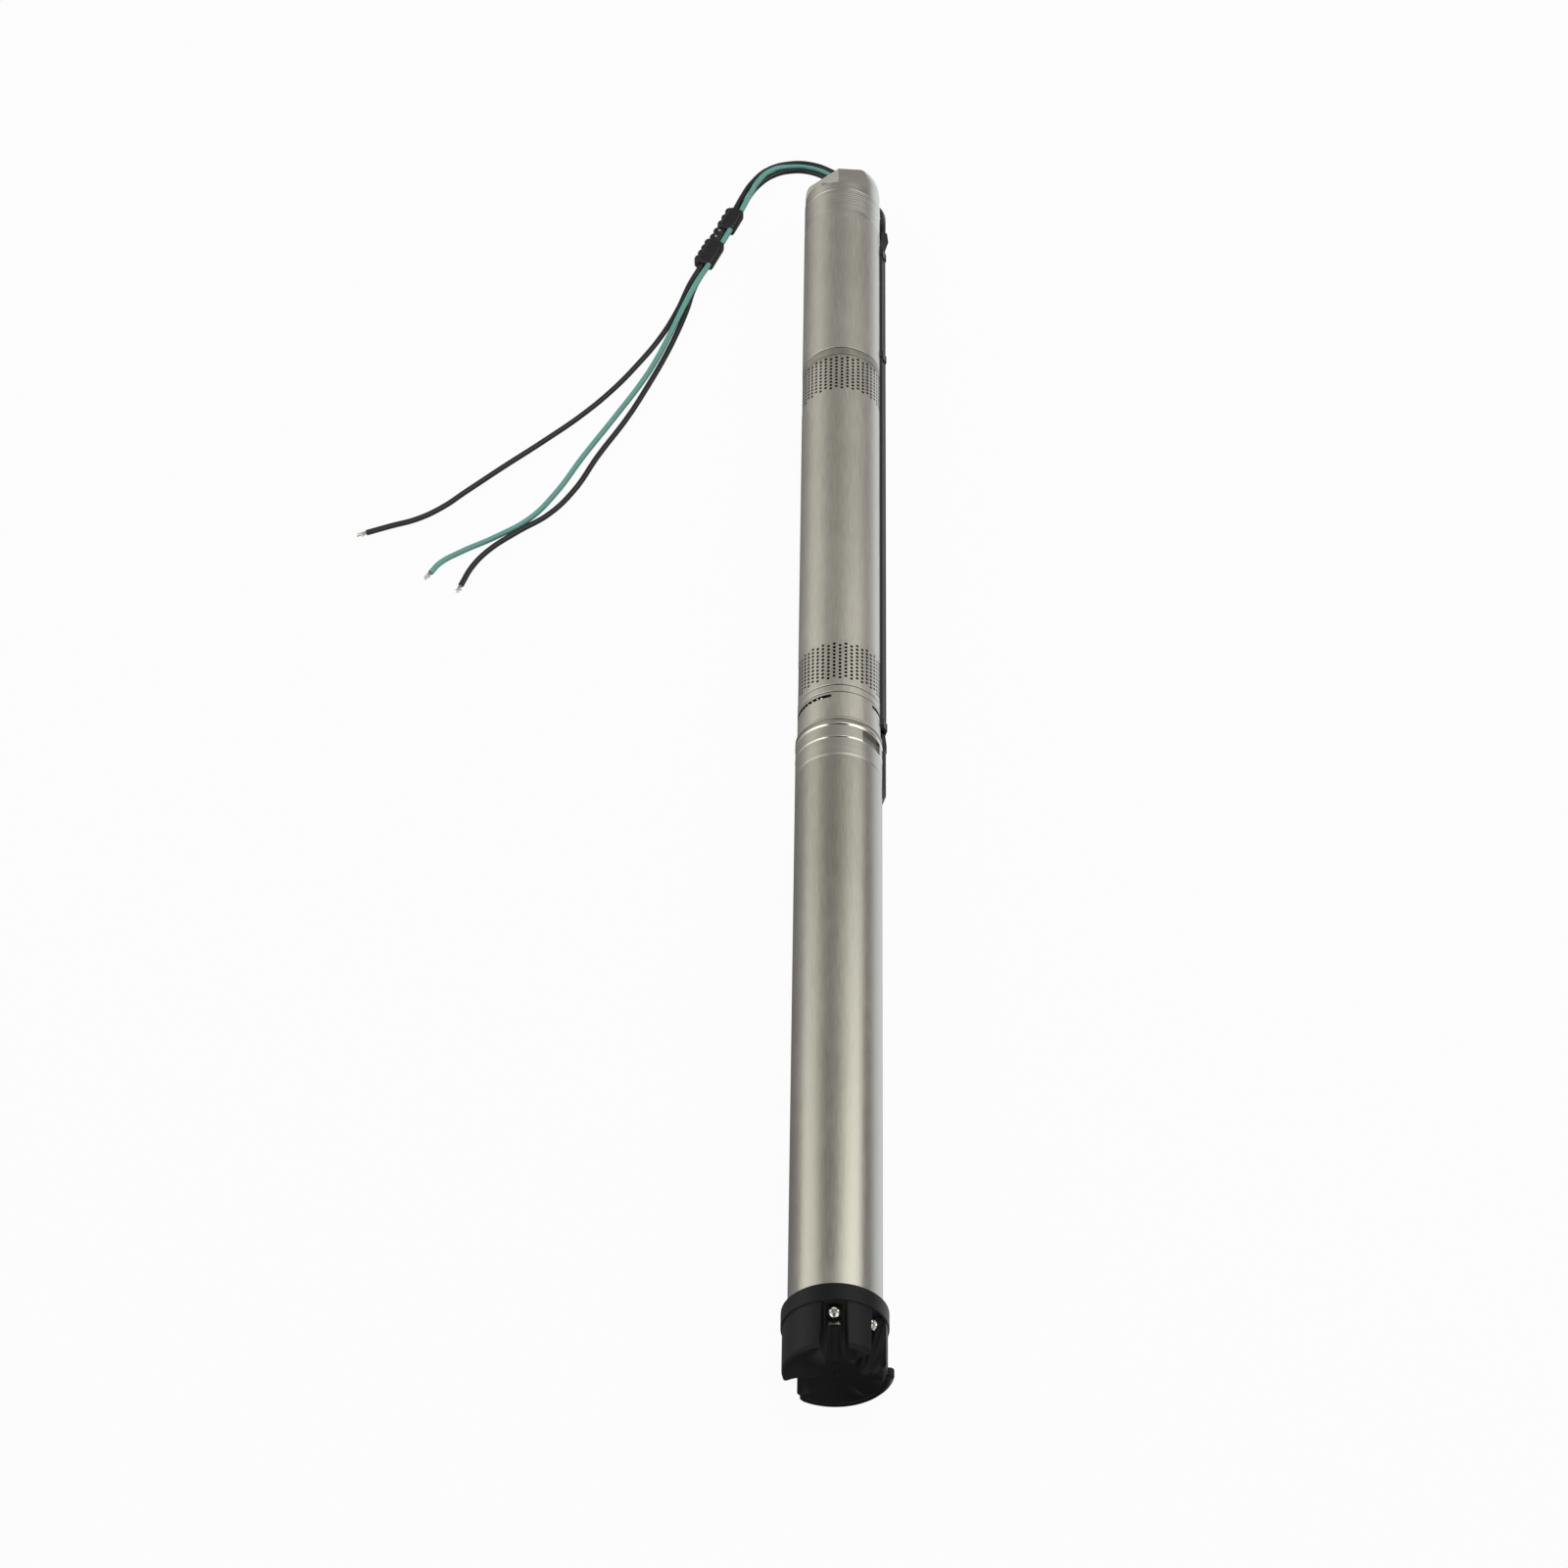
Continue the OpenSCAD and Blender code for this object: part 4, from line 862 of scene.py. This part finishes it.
second_finish("pump_sleeve", shade_black_steel, in_bore)
second_finish("pump_sleeve", rolled_steel, on_rolls)
second_finish("motor_head", bead_polish, on_bead)
second_finish("motor_head", shade_black_steel, on_spigot)
second_finish("motor_head", pocket_steel, in_pocket)

# %% [markdown]
# ## Floor and light
# The photograph has a white ground with hardly any shadow. To the camera the floor is nearly white
# light, mixed with a little real white paint that keeps the shadows. The polished tubes mirror the
# floor as well, and there it isn't even: pale to the right, where the light falls, and darker to
# the left and close under the pump, where its shadow lies. A ramp across the floor paints those
# tones of light and shadow into the mirrored floor, as a glow that only reflections see.

# %% Floor
FLOOR_SIZE, FLOOR_GREY, FLOOR_ROUGH, WHITE_SHARE = 16, 0.8, 0.8, 0.955
FLOOR_HALF = 0.5  # the ramp reaches this far to both sides
# Painted light and shadow for reflections: the near-black stop just right of the pump is its
# shadow.
# Place across the floor in metres, grey, warmth
FLOOR_TONES = [(-0.5, 0.55, 0.0), (-0.16, 0.40, 0.0), (-0.09, 0.28, 0.0), (-0.03, 0.20, 0.0),
               (0.036, 0.06, 0.0), (0.042, 0.20, -0.04), (0.05, 1.15, -0.08),
               (0.10, 1.15, -0.08), (0.25, 0.9, -0.04), (0.5, 0.40, 0.0)]


def tone_ramp(nodes, stops):
    """A colour ramp whose stops are (position, grey, warmth); warmth above 0 is yellower."""
    node = nodes.new("ShaderNodeValToRGB")
    ramp = node.color_ramp
    while len(ramp.elements) > 1:
        ramp.elements.remove(ramp.elements[-1])
    for n, (position, grey, warmth) in enumerate(stops):
        mark = ramp.elements[0] if n == 0 else ramp.elements.new(position)
        mark.position = position
        mark.color = (grey * (1 + warmth / 2), grey, grey * (1 - warmth), 1)
    return node


def blend(tree, share, first, second):
    """A mix of two shaders."""
    mix = tree.nodes.new("ShaderNodeMixShader")
    tree.links.new(share, mix.inputs["Fac"])
    tree.links.new(first, mix.inputs[1])
    tree.links.new(second, mix.inputs[2])
    return mix.outputs["Shader"]


bpy.ops.mesh.primitive_plane_add(size=FLOOR_SIZE, location=(0, 0, 0))
floor = bpy.context.object
floor.name = "floor"

floor_paint = bpy.data.materials.new("floor paint")
floor_paint.use_nodes = True
tree = floor_paint.node_tree
nodes, links = tree.nodes, tree.links
paint_shader = nodes["Principled BSDF"]
paint_shader.inputs["Base Color"].default_value = (FLOOR_GREY, FLOOR_GREY, FLOOR_GREY, 1)
paint_shader.inputs["Roughness"].default_value = FLOOR_ROUGH
glow = nodes.new("ShaderNodeEmission")
glow.inputs["Color"].default_value = (1, 1, 1, 1)
path = nodes.new("ShaderNodeLightPath")
share = nodes.new("ShaderNodeMath")
share.operation = "MULTIPLY"
share.inputs[1].default_value = WHITE_SHARE
links.new(path.outputs["Is Camera Ray"], share.inputs[0])
seen_floor = blend(tree, share.outputs[0], paint_shader.outputs["BSDF"], glow.outputs["Emission"])

across = nodes.new("ShaderNodeTexCoord")
split = nodes.new("ShaderNodeSeparateXYZ")
links.new(across.outputs["Object"], split.inputs[0])
floor_ramp = tone_ramp(nodes, [(x + FLOOR_HALF, grey, warmth) for x, grey, warmth in FLOOR_TONES])
links.new(widened(tree, split.outputs["X"], -FLOOR_HALF, FLOOR_HALF), floor_ramp.inputs["Fac"])
mirror_glow = nodes.new("ShaderNodeEmission")
links.new(floor_ramp.outputs["Color"], mirror_glow.inputs["Color"])
whole_floor = blend(tree, path.outputs["Is Glossy Ray"], seen_floor,
                    mirror_glow.outputs["Emission"])
links.new(whole_floor, nodes["Material Output"].inputs["Surface"])
floor.data.materials.append(floor_paint)
print("floor ramp has", len(FLOOR_TONES), "tones")

# %% [markdown]
# The room is even grey for all soft light. Where the steel mirrors it, it has the tones of a real
# studio: a pale wall low on the left, a dim ceiling, a soft stripe up on the right and a dark
# corner below it. The angle of a ray round the pump picks the tone. Behind the camera stand two
# bright panels in the dark, and the slopes of the beads mirror those.

# %% World
ROOM_GREY, ROOM_LIGHT = 0.9, 0.45
NEAR_FROM, NEAR_FULL = -0.02, -0.22
# Angle of the ray round the pump from straight up, grey, warmth
ROOM_TONES = [(-180, 0.2, 0.0), (-95, 0.60, 0.03), (-84, 0.75, 0.05), (-62, 0.74, 0.05),
              (-46, 0.44, 0.03), (-30, 0.33, 0.03), (0, 0.33, 0.03), (14, 0.42, 0.03),
              (29, 0.50, 0.03), (46, 0.44, 0.03), (62, 0.27, 0.01), (82, 0.20, 0.0),
              (90, 0.30, 0.0), (98, 1.0, -0.03), (180, 0.2, 0.0)]
NEAR_TONES = [(-180, 0.2, 0.0), (-92, 0.3, 0.0), (-80, 1.5, 0.04), (-38, 1.7, 0.04),
              (-24, 0.25, 0.0), (0, 0.10, 0.0), (17, 0.18, 0.0), (27, 1.6, 0.04), (56, 1.6, 0.04),
              (70, 0.5, 0.0), (90, 0.3, 0.0), (180, 0.2, 0.0)]

world = bpy.data.worlds.new("studio air")
bpy.context.scene.world = world
world.use_nodes = True
tree = world.node_tree
nodes, links = tree.nodes, tree.links
room = nodes["Background"]
room.inputs["Color"].default_value = (ROOM_GREY, ROOM_GREY, ROOM_GREY, 1)
room.inputs["Strength"].default_value = ROOM_LIGHT
white = nodes.new("ShaderNodeBackground")
white.inputs["Color"].default_value = (1, 1, 1, 1)
sight = nodes.new("ShaderNodeLightPath")

ray = nodes.new("ShaderNodeTexCoord")
ray_parts = nodes.new("ShaderNodeSeparateXYZ")
ray_turn = nodes.new("ShaderNodeMath")
ray_turn.operation = "ARCTAN2"
links.new(ray.outputs["Generated"], ray_parts.inputs[0])
links.new(ray_parts.outputs["X"], ray_turn.inputs[0])
links.new(ray_parts.outputs["Z"], ray_turn.inputs[1])
turn_share = widened(tree, ray_turn.outputs[0], -math.pi, math.pi)
room_tone = nodes.new("ShaderNodeMix")
room_tone.data_type = "RGBA"
links.new(widened(tree, ray_parts.outputs["Y"], NEAR_FROM, NEAR_FULL), room_tone.inputs["Factor"])
for tones, side in [(ROOM_TONES, 6), (NEAR_TONES, 7)]:
    ramp = tone_ramp(nodes, [((angle + 180) / 360, grey, warmth) for angle, grey, warmth in tones])
    links.new(turn_share, ramp.inputs["Fac"])
    links.new(ramp.outputs["Color"], room_tone.inputs[side])
walls = nodes.new("ShaderNodeBackground")
links.new(room_tone.outputs[2], walls.inputs["Color"])

mirrored = blend(tree, sight.outputs["Is Glossy Ray"], room.outputs["Background"],
                 walls.outputs["Background"])
links.new(blend(tree, sight.outputs["Is Camera Ray"], mirrored, white.outputs["Background"]),
          nodes["World Output"].inputs["Surface"])
print("room ramps have", len(ROOM_TONES), "and", len(NEAR_TONES), "tones")

# %% [markdown]
# Two soft boxes light the floor and the black parts and add to the two bright stripes along the
# tubes. A cylinder that lies on its side mirrors a lamp at twice the angle of its surface, so a
# stripe at 39 degrees to the left needs a lamp that stands almost level with the pump.

# %% Lamps
BOX_LENGTH, BOX_Y, AIM_Y = 3.5, 0.9, 0.3


def soft_box(name, angle, distance, width, power, colour):
    """A lamp at that angle from straight up, positive to the right, aimed at the pump."""
    turn = math.radians(angle)
    place = Vector((distance * math.sin(turn), BOX_Y, distance * math.cos(turn) + AXIS_Z))
    bpy.ops.object.light_add(type="AREA", location=place)
    lamp = bpy.context.object
    lamp.name = name
    lamp.data.shape = "RECTANGLE"
    lamp.data.size = width
    lamp.data.size_y = BOX_LENGTH
    lamp.data.energy = power
    lamp.data.color = colour
    aim = Vector((0, AIM_Y, AXIS_Z)) - place
    lamp.rotation_euler = aim.to_track_quat("-Z", "Y").to_euler()
    print(name, power, "W")


soft_box("left soft box", angle=-72, distance=2.4, width=1.0, power=12, colour=(1.0, 0.98, 0.92))
soft_box("top soft box", angle=30, distance=2.6, width=0.9, power=24, colour=(1.0, 0.98, 0.93))

# %% [markdown]
# ## Picture
# The Standard view shows colours as they were written, so the white ground stays white.

# %% Picture settings
bpy.context.scene.view_settings.view_transform = "Standard"
